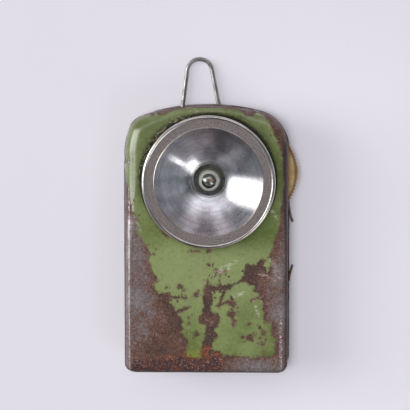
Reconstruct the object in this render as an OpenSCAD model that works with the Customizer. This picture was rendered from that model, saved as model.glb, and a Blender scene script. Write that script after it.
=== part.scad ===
// Pocket lamp for a flat 4.5 V battery, lying on its back.
// X points right, Y points to the hanging loop, Z points out of the lens.
// The origin is the middle of the flat back face.

/* [Case] */
// Width of the front shell across its side walls
case_w = 66; // [65:0.5:76]
// Height of the front shell from the bottom wall to the top of the arch
case_h = 108.5; // [106:0.5:120]
// Depth from the back face to the front face
case_d = 28; // [27:0.25:32]
// Sheet thickness of the front shell
shell_t = 0.6; // [0.4:0.05:0.8]
// Radius of the two top corners
corner_r = 16; // [12:0.5:18]
// Radius of the two bottom corners
bottom_r = 4; // [3.6:0.1:6]
// Radius of the arched top edge
arch_r = 90; // [70:1:140]
// Radius of the rolled edge round the front face
front_edge_r = 3; // [1.5:0.1:3.4]
// Height of the front shell's open edge above the back face
shell_lift = 2; // [1.6:0.1:2.6]

/* [Rear cover] */
// Sheet thickness of the rear cover
cover_t = 0.5; // [0.4:0.05:0.7]
// Gap between the front shell's walls and the rear cover's flange
cover_gap = 0.45; // [0.4:0.05:0.6]
// Height of the flange above the back face
flange_h = 5.5; // [4.5:0.1:5.8]
// Radius of the bend between back face and flange
cover_edge_r = 1.2; // [0.8:0.1:1.6]
// Length of the thumb notch in the right flange
notch_len = 18.6; // [14:0.2:24]
// Place of the thumb notch along the flange, from the middle of the case
notch_y = -3.1; // [-6:0.1:4]
// Height of the notch's lower edge above the back face
notch_z = 1.4; // [1.3:0.1:2.5]
// Length of each flared lip beside the notch
lip_len = 7; // [4:0.5:9]
// How far each lip flares out of the flange
lip_flare = 1.5; // [0.6:0.1:2.2]

/* [Hinge] */
// Length of the row of hinge knuckles
hinge_len = 69; // [50:1:72]
// Place of the hinge's middle along the left side
hinge_y = -2.8; // [-4:0.1:2]
// Height of the hinge axis above the back face
hinge_z = 6.5; // [6.4:0.1:7]
// Outer radius of the knuckles
knuckle_r = 1; // [0.9:0.05:1.1]
// Number of knuckles, shared between cover and shell
knuckle_count = 5; // [3:2:9]
// Radius of the hinge pin
pin_r = 0.5; // [0.35:0.05:0.55]

/* [Hanging loop] */
// Radius of the loop's wire
wire_r = 0.85; // [0.6:0.05:1]
// How far the loop stands out of the top wall
loop_reach = 20.5; // [15:0.5:28]
// Spacing of the loop's legs at the pivot
loop_foot = 15.6; // [13:0.2:20]
// Radius of the rounded tip, on the wire's middle line
loop_tip_r = 5.2; // [3.6:0.1:6]
// Sideways place of the tip, from the middle between the legs
loop_skew = -0.6; // [-1:0.1:1]
// Radius of the bend from leg to pivot end
loop_bend_r = 1.5; // [1.2:0.1:2]
// Sideways place of the loop
loop_x = -3.2; // [-6:0.1:6]
// How far the loop swings up from rest, in degrees
loop_swing = 45; // [30:1:50]
// Sheet thickness of the strap that holds the loop
strap_t = 0.5; // [0.4:0.05:0.7]
// Length of the strap's flat foot
strap_foot = 6; // [5:0.5:8]
// Radius of the strap rivets
strap_rivet_r = 1; // [0.8:0.1:1.2]

/* [Lens] */
// Distance of the lens axis below the top of the arch
lens_drop = 29.4; // [29:0.1:32]
// Sideways place of the lens axis
lens_x = 0.7; // [-1:0.1:1]
// Outer radius of the bezel ring
bezel_r = 27; // [26:0.25:28]
// Radius of the clear opening
aperture_r = 21.75; // [20:0.25:22.5]
// Sheet thickness of the bezel ring
bezel_t = 0.5; // [0.4:0.05:0.7]
// Radius of the bezel's rolled rim
bezel_rim_r = 0.9; // [0.7:0.05:1.3]
// Radius of the bead at the bezel's inner edge
bezel_bead_r = 0.4; // [0.3:0.05:0.6]
// Height of the shell's collar above the front face
collar_h = 2.4; // [2:0.1:3]
// Thickness of the lens glass
glass_t = 1.2; // [0.8:0.1:2]

/* [Reflector] */
// Sheet thickness of the reflector
reflector_t = 0.4; // [0.3:0.05:0.6]
// Radius of the polished bowl at its mouth
bowl_r = 22.8; // [22.6:0.1:24]
// Depth of the bowl from its mouth to the crease
bowl_depth = 12.3; // [11:0.1:12.6]
// Radius of the crease where the bowl turns into its short bottom
crease_r = 7.2; // [7:0.1:12]
// Radius of the hole for the bulb
neck_r = 6.65; // [6.2:0.05:7.5]
// Depth of the bottom from the crease to the hole
neck_depth = 0.5; // [0.4:0.1:1.5]

/* [Bulb] */
// Radius of the bulb's screw base
base_r = 4.65; // [4:0.05:4.9]
// Height of the screw base
base_h = 8.5; // [7:0.25:9]
// Wall of the screw base
base_t = 0.3; // [0.2:0.05:0.4]
// Radius of the glass globe
globe_r = 4.5; // [3.9:0.1:5]
// Radius of the glass neck inside the base
globe_neck_r = 3.6; // [3.2:0.1:3.8]
// Wall of the glass globe
globe_t = 0.4; // [0.3:0.05:0.6]
// Height of the globe's middle above the base
globe_rise = 4.6; // [4:0.1:5.5]
// Spacing of the two wires that carry the filament
filament_w = 2.4; // [1.6:0.1:3]

/* [Switch] */
// Radius of the thumbwheel over its teeth
wheel_r = 20.5; // [19:0.25:21.5]
// How far the thumbwheel stands out of the right wall
wheel_proud = 4.3; // [3:0.1:5]
// Height of the wheel's axis above the lens axis
wheel_rise = 2.4; // [2:0.1:4]
// Thickness of the thumbwheel
wheel_t = 3; // [2.4:0.1:3.4]
// Spacing of the teeth along the rim
tooth_pitch = 1.4; // [1:0.05:2]
// Depth of the teeth
tooth_h = 0.7; // [0.4:0.05:0.9]
// Length of the smooth stretch of rim that marks the position
index_len = 6.8; // [5:0.1:9]
// How far the thumbwheel turns from off to on, in degrees
wheel_turn = 45; // [30:1:50]
// Radius of the wheel's axle
axle_r = 2; // [1.5:0.1:2.5]
// Height of the wheel above the contact board
wheel_lift = 2; // [1.8:0.1:2.4]

/* [Contacts] */
// Thickness of the contact board
board_t = 1.5; // [1:0.1:2]
// Depth of the board's front side below the front face
board_depth = 19.5; // [19.3:0.1:20]
// How far the board reaches below the lens axis
board_below = 14.3; // [13.5:0.1:14.8]
// Sheet thickness of the brass contacts
contact_t = 0.4; // [0.3:0.05:0.5]
// Radius of the rivets and eyelets on the board
rivet_r = 0.9; // [0.6:0.1:1]
// Radius of their heads
rivet_head_r = 1.6; // [1.3:0.1:1.8]
// Length of the shell's lugs that carry the board
lug_l = 3.4; // [3:0.1:4]
// Width of those lugs
lug_w = 5; // [4:0.5:7]

/* [Battery] */
// Gap between the battery and each side wall
battery_gap = 1.4; // [1.2:0.1:3]
// Thickness of the battery
battery_t = 21.5; // [19:0.25:22]
// Gap between the battery's top and the thumbwheel
battery_room = 0.6; // [0.5:0.1:4]
// Thickness of the pitch seal on top
pitch_h = 1.5; // [1:0.1:3]
// Width of the tongues
tongue_w = 6; // [5:0.5:7]
// Sheet thickness of the tongues
tongue_t = 0.35; // [0.25:0.05:0.45]
// Length of the long tongue
tongue_long = 14; // [10:0.5:15]
// Length of the short tongue
tongue_short = 11; // [9:0.5:13]
// Distance of each tongue's middle from the battery's side
tongue_inset = 11.5; // [11:0.25:14]
// Thickness of the insulating liner under the battery
liner_t = 0.3; // [0.2:0.05:0.4]

/* [Clearances] */
// Radial clearance of a pin that turns in a bore
pin_clear = 0.05; // [0.03:0.01:0.08]
// Radial clearance of a rivet or a sleeve in its hole
fit_clear = 0.02; // [0.01:0.005:0.04]
// Gap between pieces that slip over each other
slip_clear = 0.1; // [0.05:0.01:0.15]
// Gap between pieces that move past each other
run_clear = 0.3; // [0.25:0.05:0.4]
// Gap between the loop's legs and the sides of their slots
slot_clear = 0.7; // [0.6:0.05:1]

/* [Hidden] */

$fn = 64;
// A small overlap for joining and cutting
eps = 0.05;
// How far a cut runs past the surface
cut = 1;

// Case outline
half_w = case_w / 2;
top_y = case_h / 2;
bottom_y = -case_h / 2;
arch_y = top_y - arch_r;
corner_x = half_w - corner_r;
corner_y = arch_y + sqrt(pow(arch_r - corner_r, 2) - pow(corner_x, 2));
arch_half = asin(corner_x / (arch_r - corner_r));
foot_x = half_w - bottom_r;
foot_y = bottom_y + bottom_r;
inner_x = half_w - shell_t;
// How far the arch's flat laps over the middle plate
arch_lap = 5;
// Step at the front shell's seams between arch and corners
arch_seam = 0.005;

// Rear cover
cover_grow = cover_gap + cover_t;
cover_x = half_w + cover_grow;
notch_top = notch_y + notch_len / 2;
notch_bottom = notch_y - notch_len / 2;

// Hinge
hinge_x = -half_w - run_clear - knuckle_r;
knuckle_pitch = hinge_len / knuckle_count;
knuckle_len = knuckle_pitch - run_clear;

// Hanging loop
loop_inset = 2.8;
loop_y = top_y - loop_inset;
strap_bore_r = wire_r + pin_clear;
strap_r = strap_bore_r + strap_t;
strap_seat = 0.1;
loop_z = cover_t + strap_seat + strap_r;
loop_lift = 0.15;
loop_c = loop_inset + loop_reach - loop_tip_r - wire_r;
loop_slope = asin((loop_z - wire_r - loop_lift) / (loop_c + loop_tip_r));
bend_x = loop_foot / 2 - loop_bend_r;
bend_c = loop_c - loop_bend_r;
slot_w = 2 * (wire_r + slot_clear);
slot_z = loop_z - loop_inset * tan(loop_slope) - wire_r - run_clear;
loop_up = loop_swing - loop_slope;
shell_notch_z = loop_z + loop_inset * tan(loop_up) + wire_r / cos(loop_up) + 2 * run_clear;
stub_in = 1.5;
strap_half = bend_x - run_clear;
strap_edge = 1.4;
strap_heel = 2.2;
strap_rivet_x = strap_half - strap_rivet_r - strap_edge;
strap_rivet_y = loop_y - strap_foot + strap_heel;
liner_edge = 2.5;

// Lens stack, from the collar up
lens_y = top_y - lens_drop;
collar_r = bezel_r - bezel_t - slip_clear;
collar_top = case_d + collar_h;
reflector_rim_r = collar_r - slip_clear;
bowl_top = collar_top + reflector_t;
glass_top = bowl_top + glass_t;
bezel_flat = glass_top + bezel_t;
bezel_rim_z = bezel_flat - bezel_rim_r / 2;
bezel_foot = case_d + slip_clear;

// Contact board and switch
board_z1 = case_d - board_depth;
board_z0 = board_z1 - board_t;
board_half = inner_x - slip_clear;
board_y0 = lens_y - board_below;
board_y1 = corner_y - slip_clear;
lug_rivet_x = inner_x - lug_l / 2;
lug_below = 9.5;
lug_above = 8.4;
lug_ys = [lens_y - lug_below, lens_y + lug_above];
wheel_x = half_w + wheel_proud - wheel_r;
wheel_y = lens_y + wheel_rise;
wheel_z0 = board_z1 + wheel_lift;
wheel_z1 = wheel_z0 + wheel_t;
wheel_hub_w = 3;
wheel_hub_r = axle_r + wheel_hub_w;
axle_head_w = 1.4;
washer_w = 1.2;
head_h = 0.4;
bridge_r = 10;
bridge_w = 4;
bridge_from = 217;
bridge_to = 304;
rivet_a = 9;
finger_a = 270;
spring_a = 340;
spring_top = wheel_z0 - contact_t - run_clear;
spring_x = wheel_x + bridge_r * cos(spring_a);
spring_y = wheel_y + bridge_r * sin(spring_a);
finger_x = wheel_x + bridge_r * cos(finger_a);
finger_y = wheel_y + bridge_r * sin(finger_a);
spring_w = 4;
leaf_ramp = 4;
finger_flat = 5;
contact_foot = 2.4;
eyelet_up = 3.5;
eyelet_y = board_y0 + eyelet_up;
strip_rise = 10;
strip_y = eyelet_y + strip_rise;
strip_edge = 1;
strip_bend = 6;
strip_ramp = 3;
socket_r = base_r + slip_clear;
socket_plate_r = 9;
socket_eyelet = socket_r + contact_t + rivet_head_r + slip_clear;

// The opening in the wheel that the socket stands in, over the whole turn
socket_a = 180 + atan((wheel_y - lens_y) / (wheel_x - lens_x));
socket_half = asin((socket_r + contact_t + 3 * run_clear) / norm([wheel_x - lens_x, wheel_y - lens_y]));
gap_from = socket_a - socket_half - wheel_turn;
gap_to = socket_a + socket_half;

// Bulb
base_z0 = board_z1 + slip_clear;
base_z1 = base_z0 + base_h;
globe_z = base_z1 + globe_rise;
insulator_h = 1.2;
insulator_r = 3;
insulator_step = 1;
tip_h = 0.8;
tip_flare = 0.6;
lead_r = 0.2;
bead_r = 1;
neck_tuck = 2;
tip_z = base_z0 - insulator_h - tip_h;

// Battery
battery_w = 2 * (inner_x - battery_gap);
tongue_x = battery_w / 2 - tongue_inset;
carton_r = 1.5;
pitch_inset = 1;
battery_corner = max(battery_w / 2 - foot_x, 0);
battery_y0 = foot_y - sqrt(pow(bottom_r - shell_t - run_clear, 2) - pow(battery_corner, 2));
battery_y1 = wheel_y - wheel_r - battery_room;
battery_h = battery_y1 - battery_y0;
battery_z0 = cover_t + liner_t + 2 * run_clear;
tongue_z = board_z0 - contact_t - tongue_t;

// Points of an arc about [cx, cy]
function arc(cx, cy, r, a0, a1, n = 8) =
    [for (i = [0:n]) let (a = a0 + (a1 - a0) * i / n) [cx + r * cos(a), cy + r * sin(a)]];

// Point at an angle on the wheel's rim
function rim(a, r) = [r * cos(a), r * sin(a)];

// Lean of one of the loop's legs from its bend to the tip; side is 1 on the right and -1 on the left
function lean(side) =
    let (x = bend_x - side * loop_skew)
    acos((loop_tip_r - loop_bend_r) / norm([x, bend_c])) - atan2(bend_c, x);

// Both ends of that leg, on its own side of the loop's middle line
function leg_low(side) =
    [bend_x + loop_bend_r * cos(lean(side)), loop_bend_r * (1 + sin(lean(side)))];
function leg_high(side) =
    [side * loop_skew + loop_tip_r * cos(lean(side)), loop_c + loop_tip_r * sin(lean(side))];

// Distance from the middle line at which that leg passes the top wall
function slot_at(side) =
    leg_low(side)[0] - (loop_inset + cover_grow / 2 - leg_low(side)[1]) * tan(lean(side));

// Height of the bowl's polished side at a radius
function bowl_z(r) =
    bowl_top - bowl_depth * (1 - (r * r - crease_r * crease_r) / (bowl_r * bowl_r - crease_r * crease_r));

// Cross-section of a pan's wall: a flat face that rolls over into a side wall
module wall_profile(w, t, h, edge_r) {
    polygon(concat(
        [[0, h]],
        arc(w - edge_r, h - edge_r, edge_r, 90, 0),
        [[w, 0], [w - t, 0]],
        arc(w - edge_r, h - edge_r, edge_r - t, 0, 90),
        [[0, h - t]]
    ));
}

// Drawn sheet pan on the case outline, open at z = 0 and closed at z = h.
// With a seam above 0 the arch is that much lower than the corners and reaches a little into them.
module pan(grow, t, h, edge_r, seam = 0) {
    reach = 20 * seam;
    arch_in = arch_r - corner_r - arch_lap;
    translate([0, arch_y, 0]) rotate([0, 0, 90 - arch_half - reach])
        rotate_extrude(angle = 2 * (arch_half + reach), $fn = 200)
            translate([arch_in, 0]) wall_profile(arch_r + grow - seam - arch_in, t, h, edge_r);
    translate([-corner_x, foot_y, h - t]) cube([2 * corner_x, corner_y - foot_y, t]);
    translate([foot_x, foot_y, 0]) rotate([90, 0, -90])
        linear_extrude(2 * foot_x) wall_profile(bottom_r + grow, t, h, edge_r);
    for (side = [0, 1]) mirror([side, 0, 0]) {
        translate([corner_x, corner_y, 0]) rotate_extrude(angle = 90 - arch_half)
            wall_profile(corner_r + grow, t, h, edge_r);
        translate([corner_x, corner_y, 0]) rotate([90, 0, 0])
            linear_extrude(corner_y - foot_y) wall_profile(corner_r + grow, t, h, edge_r);
        translate([foot_x, foot_y, 0]) rotate([0, 0, -90]) rotate_extrude(angle = 90)
            wall_profile(bottom_r + grow, t, h, edge_r);
    }
}

// Tube with a clear bore
module tube(r_out, r_in, h) {
    difference() {
        cylinder(r = r_out, h = h);
        translate([0, 0, -eps]) cylinder(r = r_in, h = h + 2 * eps);
    }
}

// Rivet with a head at each end of the stack z0 to z1
module rivet(x, y, z0, z1, r, head_r) {
    translate([x, y, z0 - head_h]) {
        cylinder(r = head_r, h = head_h);
        cylinder(r = r, h = z1 - z0 + 2 * head_h);
        translate([0, 0, z1 - z0 + head_h]) cylinder(r = head_r, h = head_h);
    }
}

module at_lens(z) { translate([lens_x, lens_y, z]) children(); }
module at_wheel(z) { translate([wheel_x, wheel_y, z]) children(); }
module at_loop() { translate([loop_x, loop_y, loop_z]) children(); }

// Cylinder along the hinge axis between two places
module hinge_rod(y0, y1, r) {
    translate([hinge_x, y1, hinge_z]) rotate([90, 0, 0])
        cylinder(r = r, h = y1 - y0);
}

// Every second knuckle of the hinge, with the tongue of sheet that carries it
module knuckles(first, web_x0, web_x1, web_z0, web_z1) {
    for (i = [first:2:knuckle_count - 1]) {
        y0 = hinge_y - hinge_len / 2 + i * knuckle_pitch + run_clear / 2;
        hinge_rod(y0, y0 + knuckle_len, knuckle_r);
        translate([web_x0, y0, web_z0]) cube([web_x1 - web_x0, knuckle_len, web_z1 - web_z0]);
    }
}

module hinge_bore() {
    hinge_rod(hinge_y - hinge_len / 2 - cut, hinge_y + hinge_len / 2 + cut, pin_r + pin_clear);
}

// The loop's two legs pass through the top wall here
module leg_slots(z0, z1) {
    for (side = [-1, 1])
        translate([loop_x + side * slot_at(side) - slot_w / 2, top_y - corner_r / 3, z0])
            cube([slot_w, corner_r, z1 - z0]);
}

module front_shell() {
    color("darkolivegreen") difference() {
        union() {
            translate([0, 0, shell_lift]) pan(0, shell_t, case_d - shell_lift, front_edge_r, arch_seam);
            at_lens(case_d - shell_t) cylinder(r = collar_r, h = collar_h + shell_t, $fn = 96);
            for (side = [0, 1], y = lug_ys) mirror([side, 0, 0])
                translate([inner_x - lug_l, y - lug_w / 2, board_z1])
                    cube([lug_l + shell_t / 2, lug_w, shell_t]);
            knuckles(
                1, hinge_x + 0.7 * knuckle_r, -half_w + shell_t / 2,
                hinge_z + 0.1 * knuckle_r, hinge_z + 0.7 * knuckle_r
            );
        }
        at_lens(case_d - 2 * shell_t)
            cylinder(r = collar_r - shell_t, h = collar_h + 3 * shell_t, $fn = 96);
        at_wheel(wheel_z0 - run_clear)
            cylinder(r = wheel_r + run_clear, h = wheel_t + 2 * run_clear, $fn = 96);
        for (side = [-1, 1], y = lug_ys)
            translate([side * lug_rivet_x, y, board_z1 - cut])
                cylinder(r = rivet_r + fit_clear, h = shell_t + 2 * cut);
        leg_slots(shell_lift - cut, shell_notch_z);
        hinge_bore();
    }
}

// One flared lip of the rear cover, from its root on the flange to its free end at the notch
module lip(root_y, end_y) {
    steps = 6;
    bend = [for (i = [0:steps]) let (s = i / steps)
        [cover_x + lip_flare * s * s, root_y + (end_y - root_y) * s]];
    inner = [for (i = [steps:-1:0]) bend[i] - [cover_t, 0]];
    tuck = root_y + (root_y > end_y ? 1 : -1) * 4 * eps;
    translate([0, 0, notch_z + run_clear / 2]) linear_extrude(flange_h - notch_z - run_clear / 2)
        polygon(concat([[cover_x - cover_t, tuck], [cover_x, tuck]], bend, inner));
}

module rear_cover() {
    lips_top = notch_top + lip_len;
    lips_bottom = notch_bottom - lip_len;
    color("olivedrab") {
        difference() {
            union() {
                translate([0, 0, flange_h]) mirror([0, 0, 1])
                    pan(cover_grow, cover_t, flange_h, cover_edge_r);
                knuckles(0, -cover_x, -cover_x + cover_t, flange_h - cover_t, hinge_z - pin_r - pin_clear);
            }
            translate([cover_x - 2 * cover_t, lips_bottom, notch_z])
                cube([4 * cover_t, lips_top - lips_bottom, flange_h]);
            leg_slots(slot_z, 2 * flange_h);
            for (side = [-1, 1]) translate([loop_x + side * strap_rivet_x, strap_rivet_y, -cut])
                cylinder(r = strap_rivet_r + fit_clear, h = cover_t + 2 * cut);
            hinge_bore();
        }
        lip(lips_top, notch_top);
        lip(lips_bottom, notch_bottom);
    }
}

module hinge_pin() {
    color("dimgray") hinge_rod(hinge_y - hinge_len / 2, hinge_y + hinge_len / 2, pin_r);
}

module hanging_loop() {
    // The straight lengths are a hair thinner than the bends and reach a little into them
    step = 0.005;
    tuck = 2 * eps;
    color("silver") at_loop() rotate([-loop_slope, 0, 0]) {
        translate([loop_skew, loop_c, 0]) rotate([0, 0, lean(1)])
            rotate_extrude(angle = 180 - lean(1) - lean(-1))
                translate([loop_tip_r, 0]) circle(r = wire_r);
        for (side = [-1, 1]) mirror([side < 0 ? 1 : 0, 0, 0]) {
            translate([leg_low(side)[0], leg_low(side)[1], 0]) rotate([-90, 0, lean(side)])
                translate([0, 0, -tuck])
                    cylinder(r = wire_r - step, h = norm(leg_high(side) - leg_low(side)) + 2 * tuck);
            translate([bend_x, loop_bend_r, 0]) rotate([0, 0, -90])
                rotate_extrude(angle = 90 + lean(side))
                    translate([loop_bend_r, 0]) circle(r = wire_r);
            translate([stub_in, 0, 0]) rotate([0, 90, 0])
                cylinder(r = wire_r - step, h = bend_x - stub_in + tuck);
        }
    }
}

module loop_strap() {
    color("gray") difference() {
        at_loop() translate([-strap_half, 0, 0]) rotate([90, 0, 90])
            linear_extrude(2 * strap_half) difference() {
                union() {
                    circle(r = strap_r);
                    translate([-strap_foot, cover_t - loop_z]) square([strap_foot + wire_r, strap_t]);
                }
                circle(r = strap_bore_r);
            }
        for (side = [-1, 1]) translate([loop_x + side * strap_rivet_x, strap_rivet_y, 0])
            cylinder(r = strap_rivet_r + fit_clear, h = cover_t + strap_t + cut);
    }
}

module strap_rivets() {
    color("dimgray") for (side = [-1, 1]) translate([loop_x + side * strap_rivet_x, strap_rivet_y, 0]) {
        cylinder(r = strap_rivet_r, h = cover_t + strap_t + head_h);
        translate([0, 0, cover_t + strap_t]) cylinder(r = 1.6 * strap_rivet_r, h = head_h);
    }
}

module insulating_liner() {
    low = bottom_y + liner_edge;
    high = loop_y - strap_foot - liner_edge;
    color("saddlebrown") translate([liner_edge - half_w, low, cover_t])
        cube([case_w - 2 * liner_edge, high - low, liner_t]);
}

module bezel_ring() {
    rim_x = bezel_r - bezel_rim_r;
    bead_x = aperture_r + bezel_bead_r;
    rim_end = 180 - asin((bezel_flat - bezel_rim_z) / bezel_rim_r);
    color("silver") at_lens(0) rotate_extrude($fn = 128) polygon(concat(
        [[bezel_r, bezel_foot]],
        arc(rim_x, bezel_rim_z, bezel_rim_r, 0, rim_end, 12),
        [[bead_x + bezel_bead_r, bezel_flat]],
        arc(bead_x, bezel_flat - eps, bezel_bead_r, 0, 180, 8),
        [[aperture_r, glass_top], [bezel_r - bezel_t, glass_top], [bezel_r - bezel_t, bezel_foot]]
    ));
}

module lens_glass() {
    color("lightcyan", 0.4) at_lens(bowl_top) cylinder(r = reflector_rim_r, h = glass_t, $fn = 96);
}

module reflector() {
    steps = 14;
    bottom = bowl_z(crease_r) - neck_depth;
    drop = 1.2 * reflector_t;
    bowl = [for (i = [0:steps]) let (r = crease_r + (bowl_r - crease_r) * i / steps) [r, bowl_z(r)]];
    under = [for (i = [steps:-1:0]) bowl[i] + [reflector_t / 2, -drop]];
    color("whitesmoke") at_lens(0) rotate_extrude($fn = 128) polygon(concat(
        [[neck_r, bottom - neck_depth], [neck_r, bottom]],
        bowl,
        [[reflector_rim_r, bowl_top], [reflector_rim_r, collar_top]],
        [[bowl_r + 2 * reflector_t, collar_top]],
        under,
        [[neck_r + reflector_t, bottom - drop], [neck_r + reflector_t, bottom - neck_depth]]
    ));
}

// Brass leaf along X: flat on the board, then a ramp up to a raised end
module leaf(length, ramp_at, rise) {
    rotate([90, 0, 0]) translate([0, 0, -spring_w / 2]) linear_extrude(spring_w) polygon([
        [0, 0], [ramp_at, 0], [ramp_at + leaf_ramp, rise], [length, rise], [length, rise + contact_t],
        [ramp_at + leaf_ramp, rise + contact_t], [ramp_at, contact_t], [0, contact_t]
    ]);
}

module bulb_socket() {
    finger_len = finger_x + bridge_w / 2 - lens_x;
    color("goldenrod") difference() {
        union() {
            at_lens(board_z1) {
                cylinder(r = socket_plate_r, h = contact_t);
                cylinder(r = socket_r + contact_t, h = base_h + contact_t);
            }
            translate([lens_x, finger_y, board_z1])
                leaf(finger_len, finger_len - bridge_w - finger_flat, spring_top - contact_t - board_z1);
        }
        at_lens(board_z1 - cut) cylinder(r = socket_r, h = base_h + contact_t + 2 * cut);
        for (side = [-1, 1]) translate([lens_x, lens_y + side * socket_eyelet, board_z1 - cut])
            cylinder(r = rivet_r + fit_clear, h = contact_t + 2 * cut);
    }
}

module bulb_glass() {
    meet = -acos(globe_neck_r / globe_r);
    inner_r = globe_r - globe_t;
    inner_neck_r = globe_neck_r - globe_t;
    inner_meet = -acos(inner_neck_r / inner_r);
    color("ghostwhite", 0.4) at_lens(0) rotate_extrude() polygon(concat(
        [[globe_neck_r, base_z1 - neck_tuck]],
        arc(0, globe_z, globe_r, meet, 90, 16),
        arc(0, globe_z, inner_r, 90, inner_meet, 16),
        [[inner_neck_r, base_z1 - neck_tuck]]
    ));
}

module bulb_base() {
    color("goldenrod") at_lens(base_z0) difference() {
        cylinder(r = base_r, h = base_h);
        translate([0, 0, base_t]) cylinder(r = base_r - base_t, h = base_h);
        translate([0, 0, -cut]) cylinder(r = insulator_r - insulator_step, h = base_t + 2 * cut);
    }
}

module bulb_insulator() {
    color("black") at_lens(base_z0 - insulator_h) difference() {
        union() {
            cylinder(r1 = tip_h + insulator_step, r2 = insulator_r, h = insulator_h);
            cylinder(r = insulator_r - insulator_step - fit_clear, h = insulator_h + base_t);
        }
        translate([0, 0, -cut]) cylinder(r = tip_h + fit_clear, h = insulator_h + base_t + 2 * cut);
    }
}

module bulb_tip() {
    color("lightgray") at_lens(tip_z) {
        cylinder(r1 = tip_h, r2 = tip_h + tip_flare, h = tip_h);
        cylinder(r = tip_h, h = tip_h + insulator_h + base_t);
    }
}

module bulb_filament() {
    low = base_z0 + base_t + slip_clear;
    color("khaki") at_lens(0) {
        for (side = [-1, 1]) translate([side * filament_w / 2, 0, low])
            cylinder(r = lead_r, h = globe_z - low);
        translate([-filament_w / 2 - lead_r, 0, globe_z - lead_r]) rotate([0, 90, 0])
            cylinder(r = lead_r / 2, h = filament_w + 2 * lead_r);
        translate([-filament_w / 2 - 2 * lead_r, 0, base_z1]) rotate([0, 90, 0])
            cylinder(r = bead_r, h = filament_w + 4 * lead_r);
    }
}

// Outline of the thumbwheel: teeth, a smooth index stretch, and a gap cut in to the hub
module wheel_outline() {
    low_r = wheel_r - tooth_h;
    pitch = tooth_pitch / wheel_r * 180 / PI;
    half = index_len / wheel_r * 90 / PI;
    below = floor((360 - half - gap_to) / pitch);
    above = floor((gap_from - half) / pitch);
    lower = [for (i = [below - 1:-1:0])
        each [rim(-half - (i + 1) * pitch, low_r), rim(-half - (i + 0.5) * pitch, wheel_r)]];
    upper = [for (i = [0:above - 1])
        each [rim(half + (i + 0.5) * pitch, wheel_r), rim(half + (i + 1) * pitch, low_r)]];
    polygon(concat(
        [rim(gap_to, low_r)], lower, [rim(-half, low_r)],
        arc(0, 0, wheel_r, -half + pitch / 4, half - pitch / 4, 6),
        [rim(half, low_r)], upper, [rim(gap_from, low_r)],
        arc(0, 0, wheel_hub_r, gap_from, gap_to, 10)
    ));
}

// Places of the two rivets through wheel and bridge
module at_bridge_rivets() {
    for (a = [bridge_from + rivet_a, bridge_to - rivet_a])
        at_wheel(0) rotate([0, 0, a]) translate([bridge_r, 0, 0]) children();
}

module thumbwheel() {
    color("tan") difference() {
        at_wheel(wheel_z0) linear_extrude(wheel_t) wheel_outline();
        at_wheel(wheel_z0 - cut) cylinder(r = axle_r + pin_clear, h = wheel_t + 2 * cut);
        at_bridge_rivets() translate([0, 0, wheel_z0 - cut])
            cylinder(r = rivet_r + fit_clear, h = wheel_t + 2 * cut);
    }
}

module contact_bridge() {
    color("goldenrod") difference() {
        at_wheel(wheel_z0 - contact_t) rotate([0, 0, bridge_from])
            rotate_extrude(angle = bridge_to - bridge_from)
                translate([bridge_r - bridge_w / 2, 0]) square([bridge_w, contact_t]);
        at_bridge_rivets() translate([0, 0, wheel_z0 - contact_t - cut])
            cylinder(r = rivet_r + fit_clear, h = contact_t + 2 * cut);
    }
}

module bridge_rivets() {
    color("darkgoldenrod") at_bridge_rivets() {
        translate([0, 0, wheel_z0 - contact_t]) cylinder(r = rivet_r, h = wheel_t + contact_t + head_h);
        translate([0, 0, wheel_z1]) cylinder(r = rivet_head_r, h = head_h);
    }
}

module wheel_axle() {
    washer_top = wheel_z1 + slip_clear + contact_t;
    color("dimgray") rivet(wheel_x, wheel_y, board_z0, washer_top, axle_r, axle_r + axle_head_w);
}

module wheel_washer() {
    color("silver") at_wheel(wheel_z1 + slip_clear)
        tube(axle_r + washer_w, axle_r + pin_clear, contact_t);
}

module wheel_spacer() {
    color("goldenrod") at_wheel(board_z1)
        tube(axle_r + washer_w, axle_r + pin_clear, wheel_lift - slip_clear);
}

module contact_board() {
    color("sienna") difference() {
        translate([-board_half, board_y0, board_z0])
            cube([2 * board_half, board_y1 - board_y0, board_t]);
        at_lens(board_z0 - cut) cylinder(r = insulator_r + run_clear, h = board_t + 2 * cut);
        at_wheel(board_z0 - cut) cylinder(r = axle_r + fit_clear, h = board_t + 2 * cut);
        for (side = [-1, 1], y = lug_ys)
            translate([side * lug_rivet_x, y, board_z0 - cut])
                cylinder(r = rivet_r + fit_clear, h = board_t + 2 * cut);
        at_eyelets() translate([0, 0, board_z0 - cut])
            cylinder(r = rivet_r + fit_clear, h = board_t + 2 * cut);
    }
}

module board_rivets() {
    color("dimgray") for (side = [-1, 1], y = lug_ys)
        rivet(side * lug_rivet_x, y, board_z0, board_z1 + shell_t, rivet_r, rivet_head_r);
}

// Places of the eyelets that fasten the contacts: two for the socket, one for each battery contact
module at_eyelets() {
    for (side = [-1, 1]) translate([lens_x, lens_y + side * socket_eyelet, 0]) children();
    translate([spring_x, eyelet_y, 0]) children();
    translate([-tongue_x, strip_y, 0]) children();
}

module board_eyelets() {
    color("darkgoldenrod") {
        for (side = [-1, 1])
            rivet(
                lens_x, lens_y + side * socket_eyelet, board_z0, board_z1 + contact_t,
                rivet_r, rivet_head_r
            );
        rivet(spring_x, eyelet_y, board_z0 - contact_t, board_z1 + contact_t, rivet_r, rivet_head_r);
        rivet(-tongue_x, strip_y, board_z0 - contact_t, board_z1, rivet_r, rivet_head_r);
    }
}

module switch_spring() {
    reach = spring_y + bridge_w / 2 - eyelet_y + contact_foot;
    color("goldenrod") difference() {
        translate([spring_x, eyelet_y - contact_foot, board_z1]) rotate([0, 0, 90])
            leaf(reach, 2 * contact_foot, spring_top - contact_t - board_z1);
        translate([spring_x, eyelet_y, board_z1 - cut])
            cylinder(r = rivet_r + fit_clear, h = contact_t + 2 * cut);
    }
}

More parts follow.
